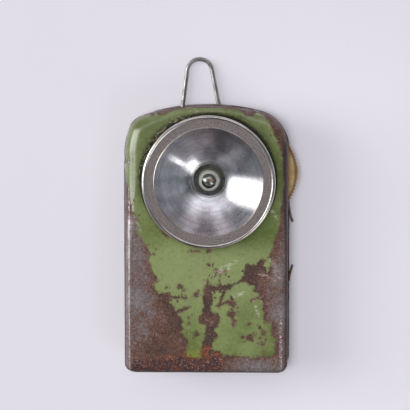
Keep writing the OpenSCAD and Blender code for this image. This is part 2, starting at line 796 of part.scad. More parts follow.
module battery_contact() {
    from_x = tongue_x - tongue_w / 2;
    color("goldenrod") difference() {
        translate([from_x, eyelet_y - contact_foot, board_z0 - contact_t])
            cube([spring_x + contact_foot - from_x, 2 * contact_foot, contact_t]);
        translate([spring_x, eyelet_y, board_z0 - contact_t - cut])
            cylinder(r = rivet_r + fit_clear, h = contact_t + 2 * cut);
    }
}

module bulb_contact_strip() {
    from_x = -tongue_x - tongue_w / 2;
    bend_at = lens_x - strip_bend;
    strip_end = lens_x + strip_ramp;
    color("goldenrod") difference() {
        union() {
            translate([from_x, board_y0 + strip_edge, board_z0 - contact_t])
                cube([tongue_w, lens_y + tongue_w / 2 - board_y0 - strip_edge, contact_t]);
            translate([0, lens_y + tongue_w / 2, 0]) rotate([90, 0, 0]) linear_extrude(tongue_w) polygon([
                [from_x, board_z0 - contact_t], [from_x, board_z0], [bend_at - strip_ramp, board_z0],
                [bend_at, tip_z], [strip_end, tip_z], [strip_end, tip_z - contact_t],
                [bend_at, tip_z - contact_t], [bend_at - strip_ramp, board_z0 - contact_t]
            ]);
        }
        translate([-tongue_x, strip_y, board_z0 - contact_t - cut])
            cylinder(r = rivet_r + fit_clear, h = contact_t + 2 * cut);
    }
}

module battery_body() {
    x = battery_w / 2 - carton_r;
    high = battery_t - carton_r;
    color("darkkhaki") translate([0, battery_y1 - pitch_h, battery_z0]) rotate([90, 0, 0])
        linear_extrude(battery_h - pitch_h) polygon(concat(
            arc(x, high, carton_r, 0, 90, 4), arc(-x, high, carton_r, 90, 180, 4),
            arc(-x, carton_r, carton_r, 180, 270, 4), arc(x, carton_r, carton_r, 270, 360, 4)
        ));
}

module battery_top() {
    color("black") translate([pitch_inset - battery_w / 2, battery_y1 - pitch_h, battery_z0 + pitch_inset])
        cube([battery_w - 2 * pitch_inset, pitch_h, battery_t - 2 * pitch_inset]);
}

// Brass tongue standing on the battery's top, behind the contact board
module tongue(x, length) {
    color("gold") translate([x - tongue_w / 2, battery_y1, tongue_z]) cube([tongue_w, length, tongue_t]);
}

module battery_tongue_long() { tongue(tongue_x, tongue_long); }
module battery_tongue_short() { tongue(-tongue_x, tongue_short); }

front_shell();
rear_cover();
hinge_pin();
hanging_loop();
loop_strap();
strap_rivets();
insulating_liner();
bezel_ring();
lens_glass();
reflector();
bulb_socket();
bulb_glass();
bulb_base();
bulb_insulator();
bulb_tip();
bulb_filament();
thumbwheel();
contact_bridge();
bridge_rivets();
wheel_axle();
wheel_washer();
wheel_spacer();
contact_board();
board_rivets();
board_eyelets();
switch_spring();
battery_contact();
bulb_contact_strip();
battery_body();
battery_top();
battery_tongue_long();
battery_tongue_short();
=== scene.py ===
"""Pocket lamp lying on its back: looks, light and camera. Lengths are in millimetres until a mesh is made."""
import math
import random

import bmesh
import bpy
import numpy as np
from mathutils import Matrix, Vector, noise
from mathutils.geometry import delaunay_2d_cdt


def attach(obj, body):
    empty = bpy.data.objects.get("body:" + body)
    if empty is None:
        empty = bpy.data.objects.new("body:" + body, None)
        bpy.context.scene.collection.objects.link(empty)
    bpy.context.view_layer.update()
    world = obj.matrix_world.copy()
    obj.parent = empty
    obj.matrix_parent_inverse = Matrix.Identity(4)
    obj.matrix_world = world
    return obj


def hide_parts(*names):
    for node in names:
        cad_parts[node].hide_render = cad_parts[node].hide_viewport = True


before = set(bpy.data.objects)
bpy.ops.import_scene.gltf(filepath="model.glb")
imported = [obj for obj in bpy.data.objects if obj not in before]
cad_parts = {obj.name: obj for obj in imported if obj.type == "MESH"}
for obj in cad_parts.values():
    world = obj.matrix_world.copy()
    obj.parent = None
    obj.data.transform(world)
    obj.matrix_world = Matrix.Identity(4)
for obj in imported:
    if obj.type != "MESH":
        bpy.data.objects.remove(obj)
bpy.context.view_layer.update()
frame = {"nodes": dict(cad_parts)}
nodes = frame["nodes"]

MM = 0.001

# Front shell
HALF_W = 33.0
TOP = 54.25
FOOT_X, FOOT_Y, FOOT_R = 29.0, -50.25, 4.0
CORNER_R, ARCH_R = 16.0, 90.0
CORNER_X = HALF_W - CORNER_R
ARCH_Y = TOP - ARCH_R
CORNER_Y = ARCH_Y + math.sqrt((ARCH_R - CORNER_R) ** 2 - CORNER_X ** 2)
ARCH_HALF = math.degrees(math.asin(CORNER_X / (ARCH_R - CORNER_R)))
FACE_Z = 28.0
OPEN_Z = 2.0
SHEET = 0.6
EDGE_R, EDGE_TOP_R = 3.0, 2.5
EDGE_GAIN, EDGE_GAIN_LEFT = 1.8, 2.0
COLLAR_R, COLLAR_TOP = 26.4, 30.4
# The drawn shell stands out above the cover's rim: at the left side and the top, at the upper corners,
# and the heights where it starts and is full
SWELL_LEFT, SWELL_LEFT_CORNER, SWELL_RIGHT_CORNER = 1.0, 1.5, 0.7
SWELL_LOW, SWELL_HIGH = 7.5, 16.0

# Lens stack
LENS_X, LENS_Y = 0.7, 24.85
BEZEL_R, BEZEL_FOOT = 27.0, 28.1
RIM_R, RIM_Z = 0.9, 32.05
BEZEL_FLAT, GLASS_TOP = 32.5, 32.0
APERTURE_R, BEAD_R = 21.75, 0.26
BEZEL_SHEET = 0.5
BOWL_R, BOWL_TOP, BOWL_DEPTH = 22.8, 30.8, 12.3
CREASE_R, NECK_R, NECK_DROP = 7.2, 6.65, 0.5
BOWL_SHEET = 0.4
# The bowl shines like a shallower dish: slope of its normals per millimetre of radius
BOWL_LEAN = 0.037
FLANGE_IN, FLANGE_OUT, FLANGE_LOW, FLANGE_TOP = 5.25, 6.6, 17.3, 17.42

# Switch and loop windows in the shell
WHEEL_X, WHEEL_Y, WHEEL_CUT = 16.8, 27.25, 20.8
SLOT_LOW, SLOT_HIGH = 10.2, 13.8
NOTCHES = [(-12.4, -9.2), (2.7, 5.9)]
NOTCH_TOP = 6.31

# Hinge
HINGE_X, HINGE_Y, HINGE_Z = -34.3, -2.8, 6.5
HINGE_LEN, KNUCKLES, KNUCKLE_R, BORE_R = 69.0, 5, 1.0, 0.55
HINGE_GAP = 0.3

# Lugs inside the shell that carry the contact board
LUG_BELOW, LUG_ABOVE, LUG_REACH, LUG_HALF = 9.5, 8.4, 3.4, 2.5
LUG_LOW, LUG_HIGH = 8.5, 9.1

# Rolled edges of the cover's lips, with each lip's root and free end
COVER_X, LIP_FLARE, LIP_Z, LIP_R = 33.75, 1.5, 5.2, 0.5
LIPS = [(13.2, 6.2), (-19.4, -12.4)]
# Dust fibres round the bezel: number, angles round the lens and radius
LINT_COUNT, LINT_FROM, LINT_TO, LINT_R = 46, 95, 172, 0.07

# Mesh spacing
OUTLINE_STEP = 0.5
FACE_STEP, BACK_STEP = 0.38, 4.0
# Numbers per vertex of the shell, for its material
SHELL_FIELDS = ("paint", "rust", "grime_and_shade", "crust", "scuff", "stain")


def srgb(r, g, b):
    """Linear colour of an 8-bit sRGB colour."""
    parts = []
    for v in (r, g, b):
        v = v / 255
        parts.append(v / 12.92 if v <= 0.04045 else ((v + 0.055) / 1.055) ** 2.4)
    return (*parts, 1.0)


def ease(value, low, high):
    """Smooth step from 0 at low to 1 at high, for numbers and arrays."""
    t = np.clip((value - low) / (high - low), 0, 1)
    return t * t * (3 - 2 * t)


def polar(r, turn):
    """Place at a radius and an angle round the lens."""
    return LENS_X + r * math.cos(turn), LENS_Y + r * math.sin(turn)


def distance(points, x, y):
    """Distance of each point from a place in the plane of the face."""
    return np.hypot(points[:, 0] - x, points[:, 1] - y)


def ripple(points, size, seed):
    """Smooth noise between -1 and 1 at the given points, with features of the given size."""
    shift = Vector((seed * 17.3, seed * 5.1, seed * 9.7))
    return np.array([noise.noise(Vector(p) / size + shift) for p in points])


def make_mesh(name, points, faces, smooth=True):
    """Object from points in millimetres."""
    mesh = bpy.data.meshes.new(name)
    mesh.from_pydata([tuple(c * MM for c in p) for p in points], [], faces)
    mesh.validate()
    if smooth:
        mesh.polygons.foreach_set("use_smooth", [True] * len(mesh.polygons))
    mesh.update()
    piece = bpy.data.objects.new(name, mesh)
    bpy.context.scene.collection.objects.link(piece)
    return piece


def crisp(piece, degrees=35):
    """Smooth shading that keeps edges sharper than the angle."""
    piece.data.set_sharp_from_angle(angle=math.radians(degrees))


def field(piece, name, values):
    """Number per vertex, for the shader."""
    layer = piece.data.attributes.new(name, "FLOAT", "POINT")
    layer.data.foreach_set("value", np.asarray(values, dtype=np.float32))


def bridge(faces, *loops):
    """Quads from each closed loop of point numbers to the next."""
    for low, high in zip(loops, loops[1:]):
        for i in range(len(low)):
            k = (i + 1) % len(low)
            faces.append((low[i], low[k], high[k], high[i]))


def revolve(name, profile, segments=192):
    """Closed ring round the lens axis from a closed profile of (radius, height)."""
    points = []
    faces = []
    count = len(profile)
    for i in range(segments):
        points += [(*polar(r, 2 * math.pi * i / segments), z) for r, z in profile]
    loops = [range(j, segments * count, count) for j in range(count)]
    bridge(faces, *loops, loops[0])
    return make_mesh(name, points, faces)


def arc(cx, cz, r, start, end, steps):
    """Points of an arc, angles in degrees."""
    turn = [math.radians(start + (end - start) * i / steps) for i in range(steps + 1)]
    return [(cx + r * math.cos(a), cz + r * math.sin(a)) for a in turn]


# Signed distances in the plane of the front face


def edge_distance(points, outline, closed=True):
    """Distance of each point from a line of straight lengths."""
    best = np.full(len(points), 1e9)
    pairs = list(zip(outline, outline[1:] + outline[:1])) if closed else list(zip(outline, outline[1:]))
    for a, b in pairs:
        a = np.array(a)
        along = np.array(b) - a
        t = np.clip((points - a) @ along / max(along @ along, 1e-9), 0, 1)
        best = np.minimum(best, np.linalg.norm(points - a - t[:, None] * along, axis=1))
    return best


def inside(points, outline):
    """True for each point inside a closed outline."""
    hit = np.zeros(len(points), dtype=bool)
    x, y = points[:, 0], points[:, 1]
    for (ax, ay), (bx, by) in zip(outline, outline[1:] + outline[:1]):
        if ay == by:
            continue
        across = (ay > y) != (by > y)
        hit ^= across & (x < (bx - ax) * (y - ay) / (by - ay) + ax)
    return hit


def signed(points, outline):
    """Distance from a closed outline, positive inside."""
    d = edge_distance(points, outline)
    return np.where(inside(points, outline), d, -d)


# Where the paint is left on the front face
UPPER_PAINT = [
    (-37, 38), (-36, 47), (-31, 53), (-23, 57), (-16, 56), (-13, 57), (-9, 56), (0, 56), (5, 57), (11, 56),
    (14.5, 55), (15, 52), (18, 51.5), (19.5, 52.5), (22.5, 52), (25, 49.5), (26, 47.5), (26.5, 44.5),
    (28, 42.5), (29.5, 39), (30.5, 36), (31, 33.5), (30.5, 30.5), (31, 28), (31.5, 23), (30.5, 18),
    (30, 12.5), (30, 8), (27.5, 1), (27, -2), (25, -6), (26.5, -6), (26, -9), (24.5, -12), (24, -10.5),
    (22.5, -9.5), (24, -7), (22, -7), (20, -9), (18, -9.5), (16, -8.5), (15.5, -10.5), (15, -12),
    (15.5, -13.5), (14, -14.5), (12.5, -16), (10.5, -16.5), (6.5, -17.5), (5, -15.5), (4.5, -18),
    (1.5, -18), (0, -15), (-0.5, -17.5), (-1.5, -20), (-1.5, -23.5), (-1, -25), (-1.5, -27.5), (-3, -30.5),
    (-3, -33), (-0.5, -34), (-0.5, -38.5), (-1.5, -40.5), (-2, -43.5), (-2.5, -47.5), (-8.5, -47.5),
    (-8.5, -43.5), (-8, -40), (-9.5, -38.5), (-11, -37), (-10, -35.5), (-10.5, -33.5), (-9.5, -32.5),
    (-11, -30.5), (-13, -30), (-13.5, -26.5), (-16, -24.5), (-14.5, -24), (-15.5, -21), (-19.5, -21),
    (-21.5, -19.5), (-22, -17), (-20, -16), (-21.5, -13), (-23, -11), (-23, -9), (-24, -7.5), (-23, -5),
    (-24.5, -2), (-26.5, 1), (-28.5, 4), (-28.5, 10), (-30.5, 12.5), (-31, 17.5), (-32.5, 23.5), (-36, 29),
]
LOWER_PAINT = [
    (2, -20.5), (5, -20), (7.5, -19.5), (11, -18), (13, -16.5), (15.5, -16), (17, -17.5), (19, -17.5),
    (19, -20), (21.5, -21), (20.5, -23.5), (23, -23.5), (22.5, -26.5), (23, -28.5), (23.5, -33),
    (26.5, -33), (26, -36), (27, -38.5), (28.5, -39.5), (27.5, -41.5), (28, -44), (27, -46.5), (20, -47),
    (18, -48), (17, -47), (7.5, -46.5), (6.5, -47.5), (5.5, -44.5), (3, -45), (1.5, -42), (2.5, -40),
    (4, -38.5), (3, -35.5), (4.5, -34.5), (5.5, -31.5), (4.5, -29.5), (2, -28.5), (1.5, -26.5),
    (2.5, -23.5),
]
# Scratches through the paint: points and half width
SCRATCHES = [
    ([(-14.5, -22.5), (-8.5, -22.5)], 0.3), ([(-13.5, -29.5), (-10.5, -28), (-7, -26.5)], 0.6),
    ([(7, -20), (6, -23), (5, -26)], 0.7), ([(5, -25.5), (8.5, -24.5), (11, -26)], 0.5),
    ([(10, -22.5), (11, -25.5)], 0.5), ([(10, -27.5), (11, -34)], 0.5), ([(2.5, -14), (7, -11.5)], 0.5),
    ([(7.5, -11.5), (7.5, -13)], 0.3), ([(18.5, -23.5), (21.5, -22.5)], 0.4),
    ([(-6, -3.5), (-3.5, -3.5)], 0.3), ([(-18.5, 4.5), (-16, 2.5)], 0.5),
]
# Bare spots: place and radius
SPOTS = [
    (-4.5, -21.5, 0.9), (-11, -18, 0.9), (-9.5, -19.5, 0.4), (-16.5, -18.5, 0.4), (-4.5, -37.5, 1.2),
    (10, -29.5, 1.6), (17, -33.5, 0.5), (17.5, -39, 1.4), (14.5, -39, 0.6), (23, -37, 1.0),
    (22.5, -41.5, 0.9), (23, -45, 0.5), (19, -36.5, 0.5), (0.5, -9, 0.5), (4, -11, 0.4), (1, -3.5, 0.7),
    (-21.5, -4.5, 0.4), (-8.5, -22, 0.3), (21.5, -35, 0.4), (18.5, -40, 0.5), (11, -31.5, 0.7),
    (21.5, -39, 0.4), (-3.5, -20, 0.4), (-7.5, -31, 0.4), (-7.5, -33.5, 0.5), (-22, 52, 0.5),
    (-18.5, 53.5, 0.6), (-20, 52.8, 0.4), (-32, 33, 0.5),
]
# Rust is deeper (above 0) or thinner (below 0) round these places: place, radius, amount
RUST_PLACES = [
    (-24, -10, 5, 0.05), (-21, -23, 4, 0.2), (-28, -20, 6, -0.2), (-15, -27, 5, 0.35), (-13, -35, 5, 0.3),
    (-30, 5.5, 6, -0.3), (-30, -6.5, 6, -0.2), (-30, -25, 6, -0.25), (-28, -39, 6, -0.1),
    (-20, -46, 8, 0.5), (-6, -49.5, 7, 0.5), (5, -49.5, 5, 0.3), (0, -27, 4, 0.6), (0, -39, 4, 0.6),
    (18, -11.5, 5, 0.5), (25, -18.5, 5, 0.1), (29, -10.5, 5, -0.25), (30, -28.5, 5, -0.3),
    (20, -51.5, 8, -0.3), (29, 41.5, 6, 0.12), (30, 23.5, 6, 0.1), (20, 52.5, 6, -0.1), (-13, 53.5, 4, 0.3),
    (-1, 54.5, 5, 0.12), (9, 54, 4, 0.25), (8, -18.5, 5, 0.5),
]
# Thick rust scale along the foot
CRUST = [
    (-30, -48.5), (-21.5, -47.5), (-10.5, -46), (-8.5, -43.5), (-6, -45), (-1, -42.5), (3, -44), (7, -47.5),
    (6, -56), (-34, -56),
]
# Pale rub marks: points, half width
RUBS = [
    ([(2.5, -14), (9, -10)], 1.6), ([(10.5, -22), (15.5, -20.5)], 1.1), ([(25.5, 14), (28.5, 10)], 1.3),
    ([(4, -11.5), (12, -7.5)], 1.2), ([(19, -24), (21, -30)], 1.0), ([(26.5, -7.5), (29.5, -14.5)], 1.8),
    ([(21.5, -12.5), (27.5, -15.5)], 1.6), ([(-27, 4.5), (-29.5, 10.5)], 0.9),
]
# Yellow stains: place, radius
STAINS = [(-6.5, -46.5, 3.2), (-3.5, -46, 2.6)]


def outline_points():
    """Points and outward directions along the shell's outline, once round."""
    places = []

    def straight(ax, ay, bx, by, nx, ny):
        steps = max(1, round(math.hypot(bx - ax, by - ay) / OUTLINE_STEP))
        for i in range(steps):
            t = i / steps
            places.append((ax + (bx - ax) * t, ay + (by - ay) * t, nx, ny))

    def curve(cx, cy, r, start, end):
        steps = max(1, round(math.radians(abs(end - start)) * r / OUTLINE_STEP))
        for i in range(steps):
            a = math.radians(start + (end - start) * i / steps)
            places.append((cx + r * math.cos(a), cy + r * math.sin(a), math.cos(a), math.sin(a)))

    low = FOOT_Y - FOOT_R
    straight(-FOOT_X, low, FOOT_X, low, 0, -1)
    curve(FOOT_X, FOOT_Y, FOOT_R, -90, 0)
    straight(HALF_W, FOOT_Y, HALF_W, CORNER_Y, 1, 0)
    curve(CORNER_X, CORNER_Y, CORNER_R, 0, 90 - ARCH_HALF)
    curve(0, ARCH_Y, ARCH_R, 90 - ARCH_HALF, 90 + ARCH_HALF)
    curve(-CORNER_X, CORNER_Y, CORNER_R, 90 + ARCH_HALF, 180)
    straight(-HALF_W, CORNER_Y, -HALF_W, FOOT_Y, -1, 0)
    curve(-FOOT_X, FOOT_Y, FOOT_R, 180, 270)
    return np.array(places)


def swelling(outline):
    """How far the upper part of the shell stands out from the plain outline, once round."""
    _, y, nx, ny = outline.T
    turn = np.degrees(np.arctan2(ny, np.abs(nx)))
    left = nx < -0.001
    upper = y > 0
    base = np.where(left, np.where(upper, 1, 1 - ease(-turn, 10, 80)), np.where(upper, ease(turn, 5, 70), 0))
    left_corner = SWELL_LEFT_CORNER * np.exp(-((turn - 45) / 19) ** 2)
    right_corner = SWELL_RIGHT_CORNER * np.exp(-((turn - 42) / 20) ** 2)
    corner = np.where(left, left_corner, right_corner)
    return SWELL_LEFT * base + np.where(upper & (y > CORNER_Y - 1), corner, 0)


def add_tube(points, faces, y0, y1, steps=24):
    """Hinge knuckle with its bore."""
    first = len(points)
    for y in (y0, y1):
        for r in (KNUCKLE_R, BORE_R):
            for i in range(steps):
                a = 2 * math.pi * i / steps
                points.append((HINGE_X + r * math.cos(a), y, HINGE_Z + r * math.sin(a)))
    near_out, near_in, far_out, far_in = (range(first + n * steps, first + (n + 1) * steps) for n in range(4))
    bridge(faces, near_out, far_out, far_in, near_in, near_out)


def add_box(points, faces, low, high):
    """Closed box."""
    first = len(points)
    for z in (low[2], high[2]):
        for y in (low[1], high[1]):
            for x in (low[0], high[0]):
                points.append((x, y, z))
    for quad in ((0, 2, 3, 1), (4, 5, 7, 6), (0, 1, 5, 4), (2, 6, 7, 3), (0, 4, 6, 2), (1, 3, 7, 5)):
        faces.append(tuple(first + n for n in quad))


def fill_face(ring, hole_r, z, step):
    """Triangles between an outline and the lens hole, with the points in between on a grid."""
    ring = [tuple(p) for p in ring]
    turns = 256
    hole = [polar(hole_r, 2 * math.pi * i / turns) for i in range(turns)]
    xs = np.arange(-HALF_W - 2, HALF_W + 2, step)
    ys = np.arange(-TOP, TOP, step)
    grid = np.array([(x, y) for y in ys for x in xs])
    gap = 0.55 * step
    clear = signed(grid, ring) > gap
    clear &= distance(grid, LENS_X, LENS_Y) > hole_r + gap
    flat = [Vector(p) for p in ring + hole] + [Vector(p) for p in grid[clear]]
    count = len(ring)
    edges = [(i, (i + 1) % count) for i in range(count)]
    edges += [(count + i, count + (i + 1) % turns) for i in range(turns)]
    verts, _, tris, _, _, _ = delaunay_2d_cdt(flat, edges, [], 0, 1e-6)
    where = np.array([tuple(v) for v in verts])
    tris = np.array([t for t in tris if len(t) == 3])
    middle = where[tris].mean(axis=1)
    keep = distance(middle, LENS_X, LENS_Y) > hole_r * math.cos(math.pi / turns)
    keep &= inside(middle, ring)
    return [(x, y, z) for x, y in where], [tuple(int(n) for n in t) for t in tris[keep]], count, turns


def paint_left(flat, depth, spots):
    """Signed distance to the paint's edge, positive on paint, with the side walls mostly painted."""
    left = np.maximum(signed(flat, UPPER_PAINT), signed(flat, LOWER_PAINT))
    for line, half in SCRATCHES:
        left = np.minimum(left, edge_distance(flat, line, closed=False) - half)
    for x, y, r in SPOTS:
        left = np.minimum(left, distance(flat, x, y) - r)
    top = ease(flat[:, 1], 49.5, 52.5) * (1 - ease(np.abs(flat[:, 0] + 1), 15, 20))
    left = left - 5 * top * ease(depth, 0.75, 1.5)
    hinge = ease(-flat[:, 0], HALF_W + 0.1, HALF_W + 0.3)
    left_up = ease(flat[:, 1], 20, 30) * ease(-flat[:, 0], 5, 14)
    left = left - 5 * left_up * ease(depth, 3.6, 4.8) * (0.7 + ripple(spots, 3.0, 9))
    wall = 0.5 + 2.4 * ripple(spots, 7.0, 3) + 1.2 * ripple(spots, 2.5, 4)
    wall = wall - 4 * top - 0.8 * hinge + 1.2 * left_up
    blend = ease(depth, 5, 11)
    return left * (1 - blend) + wall * blend


def rust_depth(flat):
    """How deep the rust is, about 0 to 1."""
    amount = np.full(len(flat), 0.46)
    for x, y, r, add in RUST_PLACES:
        amount += add * np.exp(-(distance(flat, x, y) / r) ** 2)
    return amount


def rubbed(flat):
    """Pale rub marks, 1 in their middle lines."""
    amount = np.zeros(len(flat))
    for line, half in RUBS:
        amount = np.maximum(amount, 1 - ease(edge_distance(flat, line, closed=False), 0, half))
    return amount


def stained(flat):
    """Yellow stains in the paint."""
    amount = np.zeros(len(flat))
    for x, y, r in STAINS:
        amount = np.maximum(amount, 1 - ease(distance(flat, x, y), 0.3 * r, r))
    return amount


def grime_and_shade_ring(flat):
    """Dark band round the bezel's foot, part soiling and part painted shade, thickest at the left, the upper
    left and the upper right.
    """
    out = distance(flat, LENS_X, LENS_Y) - BEZEL_R
    turn = np.arctan2(flat[:, 1] - LENS_Y, flat[:, 0] - LENS_X)
    width = 0.5 + 0.9 * ease(np.sin(turn), -0.7, 0.3) + 1.5 * np.exp(-((turn - 2.5) / 0.6) ** 2)
    width += 0.8 * np.exp(-((turn - 0.9) / 0.45) ** 2)
    width += 0.6 * np.exp(-((np.abs(turn) - math.pi) / 0.5) ** 2)
    return np.exp(-np.clip(out, 0, 50) / width)


def front_shell():
    """Front shell as a dense skin inside and out, with the paint's edge as a number per vertex."""
    outline = outline_points()
    place, out = outline[:, :2], outline[:, 2:]
    count = len(outline)
    side = ease(place[:, 1], -8, 28)
    top = ease(place[:, 1], 46, 51) * (1 - ease(np.abs(place[:, 0]), 11, 20))
    gain = EDGE_GAIN + EDGE_GAIN_LEFT * ease(-place[:, 0], 18, 28)
    edge = EDGE_R + gain * side * (1 - top) + (EDGE_TOP_R - EDGE_R) * top

    low_rows = [OPEN_Z, 3.1, 4.2, 5.25, NOTCH_TOP, 8.2, SLOT_LOW, 11.4, 12.6, SLOT_HIGH]
    high_rows = [0.17, 0.34, 0.5, 0.67, 0.84, 1.0]
    arc_steps = 12
    heights = [np.full(count, z) for z in low_rows]
    heights += [SLOT_HIGH + f * (FACE_Z - edge - SLOT_HIGH) for f in high_rows]
    rows = [(np.zeros(count), np.full(count, SHEET), z, z) for z in heights]
    for i in range(1, arc_steps + 1):
        a = math.radians(90 * i / arc_steps)
        inner = edge - SHEET
        rows.append((
            edge * (1 - math.cos(a)), edge - inner * math.cos(a),
            FACE_Z - edge + edge * math.sin(a), FACE_Z - edge + inner * math.sin(a),
        ))
    levels = len(rows)

    points = []
    swell = swelling(outline)
    for skin in (0, 1):
        for row in rows:
            shift = swell * ease(row[2], SWELL_LOW, SWELL_HIGH) - row[skin]
            moved = place + out * shift[:, None]
            points += [(x, y, z) for (x, y), z in zip(moved, row[2 + skin])]

    def at(skin, j, i):
        return (skin * levels + j) * count + i % count

    solid = np.ones((levels - 1, count), dtype=bool)
    for i in range(count):
        x, y = (place[i] + place[(i + 1) % count]) / 2
        if any(a < x < b for a, b in NOTCHES) and y > 45:
            solid[0:4, i] = False
        if math.hypot(x - WHEEL_X, y - WHEEL_Y) < WHEEL_CUT and x > 20:
            solid[6:9, i] = False
    faces = []
    for j in range(levels - 1):
        for i in range(count):
            if not solid[j, i]:
                continue
            faces.append((at(0, j, i), at(0, j, i + 1), at(0, j + 1, i + 1), at(0, j + 1, i)))
            faces.append((at(1, j, i + 1), at(1, j, i), at(1, j + 1, i), at(1, j + 1, i + 1)))
            if j == 0 or not solid[j - 1, i]:
                faces.append((at(0, j, i + 1), at(0, j, i), at(1, j, i), at(1, j, i + 1)))
            if j < levels - 2 and not solid[j + 1, i]:
                faces.append((at(0, j + 1, i), at(0, j + 1, i + 1), at(1, j + 1, i + 1), at(1, j + 1, i)))
            if not solid[j, i - 1]:
                faces.append((at(0, j, i), at(0, j + 1, i), at(1, j + 1, i), at(1, j, i)))
            if not solid[j, (i + 1) % count]:
                faces.append((at(0, j + 1, i + 1), at(0, j, i + 1), at(1, j, i + 1), at(1, j + 1, i + 1)))

    rim = place + out * (swell - edge)[:, None]
    first_face = len(points)
    holes = []
    for skin, step in ((0, FACE_STEP), (1, BACK_STEP)):
        inset = skin * SHEET
        more, tris, ring_count, turns = fill_face(rim, COLLAR_R - inset, FACE_Z - inset, step)
        names = [at(skin, levels - 1, i) for i in range(ring_count)]
        names += [len(points) + i for i in range(len(more) - ring_count)]
        points += more[ring_count:]
        holes.append(names[ring_count:ring_count + turns])
        for a, b, c in tris:
            ring = (names[a], names[b], names[c])
            faces.append(ring if skin == 0 else ring[::-1])
    lip = []
    for r in (COLLAR_R, COLLAR_R - SHEET):
        lip.append([len(points) + i for i in range(turns)])
        for i in range(turns):
            points.append((*polar(r, 2 * math.pi * i / turns), COLLAR_TOP))
    bridge(faces, holes[0], *lip, holes[1])

    skin_count = len(points)
    pitch = HINGE_LEN / KNUCKLES
    for n in (1, 3):
        y0 = HINGE_Y - HINGE_LEN / 2 + n * pitch + HINGE_GAP / 2
        y1 = y0 + pitch - HINGE_GAP
        add_tube(points, faces, y0, y1)
        add_box(
            points, faces, (HINGE_X + 0.7 * KNUCKLE_R, y0, HINGE_Z + 0.1 * KNUCKLE_R),
            (-HALF_W + SHEET / 2, y1, HINGE_Z + 0.7 * KNUCKLE_R),
        )
    lug_x = HALF_W - SHEET
    for flip in (-1, 1):
        for y in (LENS_Y - LUG_BELOW, LENS_Y + LUG_ABOVE):
            ends = sorted((flip * (lug_x - LUG_REACH), flip * (lug_x + SHEET / 2)))
            add_box(points, faces, (ends[0], y - LUG_HALF, LUG_LOW), (ends[1], y + LUG_HALF, LUG_HIGH))

    spots = np.array(points)
    flat = spots[:, :2]
    depth = FACE_Z - spots[:, 2]
    paint = paint_left(flat, depth, spots)
    index = np.arange(len(points))
    upper = (index >= first_face) & (index < skin_count) & (np.abs(depth) < 0.01)
    dents = 0.5 + 0.5 * ripple(spots, 11.0, 1)
    pits = 0.5 + 0.5 * ripple(spots, 1.3, 2)
    bare = 1 - ease(paint, -0.25, 0.25)
    sink = 0.09 * bare + 0.05 * bare * pits + 0.10 * dents
    spots[upper, 2] -= sink[upper]
    edge_band = (index < levels * count) & (depth < EDGE_R + EDGE_GAIN + EDGE_GAIN_LEFT)
    centre = flat * np.array([0.8, 0.85])
    inward = np.column_stack([centre - flat, np.full(len(flat), -6.0)])
    inward /= np.linalg.norm(inward, axis=1)[:, None]
    spots[edge_band] += inward[edge_band] * (0.8 * sink[edge_band])[:, None]

    piece = make_mesh("worn_shell", [tuple(p) for p in spots], faces)
    crisp(piece, 40)
    # The third number marks the band round the bezel that is coloured as soiling and painted shade
    numbers = [
        paint, rust_depth(flat), np.where(depth < 1, grime_and_shade_ring(flat), 0), signed(flat, CRUST),
        np.where(depth < 3, rubbed(flat), 0), np.where(depth < 3, stained(flat), 0),
    ]
    for name, values in zip(SHELL_FIELDS, numbers):
        field(piece, name, values)
    return piece


class Number:
    """Number in a node tree, whose sums and products become nodes."""

    def __init__(self, nodes, socket):
        self.nodes, self.socket = nodes, socket

    def __add__(self, other):
        return self.nodes.math("ADD", self, other)

    def __sub__(self, other):
        return self.nodes.math("SUBTRACT", self, other)

    def __rsub__(self, other):
        return self.nodes.math("SUBTRACT", other, self)

    def __mul__(self, other):
        return self.nodes.math("MULTIPLY", self, other)

    __radd__, __rmul__ = __add__, __mul__


class Nodes:
    """Node tree of a material, a lamp or the room."""

    def __init__(self, tree):
        self.tree = tree

    def put(self, socket, value):
        """Links a value to a socket, or sets the socket's own number."""
        value = getattr(value, "socket", value)
        if isinstance(value, bpy.types.NodeSocket):
            self.tree.links.new(value, socket)
        else:
            socket.default_value = value

    def fill(self, node, named):
        """Sets inputs of a node by name, with underscores for spaces."""
        for name, value in named.items():
            self.put(node.inputs[name.replace("_", " ")], value)

    def add(self, kind, *values, **named):
        """New node: settings by small names, first inputs in order, others by names with a capital."""
        node = self.tree.nodes.new("ShaderNode" + kind)
        for name in [name for name in named if name.islower()]:
            setattr(node, name, named.pop(name))
        for socket, value in zip(node.inputs, values):
            self.put(socket, value)
        self.fill(node, named)
        return node

    def out(self, node, key=0):
        return Number(self, node.outputs[key])

    def math(self, operation, a, b=0.0, clamp=False):
        return self.out(self.add("Math", a, b, operation=operation, use_clamp=clamp))

    def step(self, value, low, high, out_low=0.0, out_high=1.0):
        """Smooth step from one number at low to another at high."""
        ends = (low, high, out_low, out_high)
        return self.out(self.add("MapRange", value, *ends, interpolation_type="SMOOTHSTEP"))

    def span(self, value, low, high, out_low, out_high):
        """Straight remap of a range."""
        return self.out(self.add("MapRange", value, low, high, out_low, out_high))

    def between(self, value, start, low, high, end):
        """1 from low to high, with smooth steps up from start and down to end."""
        return self.step(value, start, low) * self.step(value, end, high)

    def join(self, kind, factor, a, b):
        """Blend of two numbers (kind 0), vectors (1) or colours (2)."""
        node = self.add("Mix", factor, data_type=("FLOAT", "VECTOR", "RGBA")[kind])
        self.put(node.inputs[2 * kind + 2], a)
        self.put(node.inputs[2 * kind + 3], b)
        return self.out(node, kind)

    def blend(self, factor, a, b):
        """Blend of two numbers."""
        return self.join(0, factor, a, b)

    def mix(self, factor, a, b):
        """Blend of two colours."""
        return self.join(2, factor, a, b)

    def dab(self, colour, value, low, high, amount, other):
        """Colour that goes over to another by an amount, as a value goes from low to high."""
        return self.mix(self.step(value, low, high) * amount, colour, other)


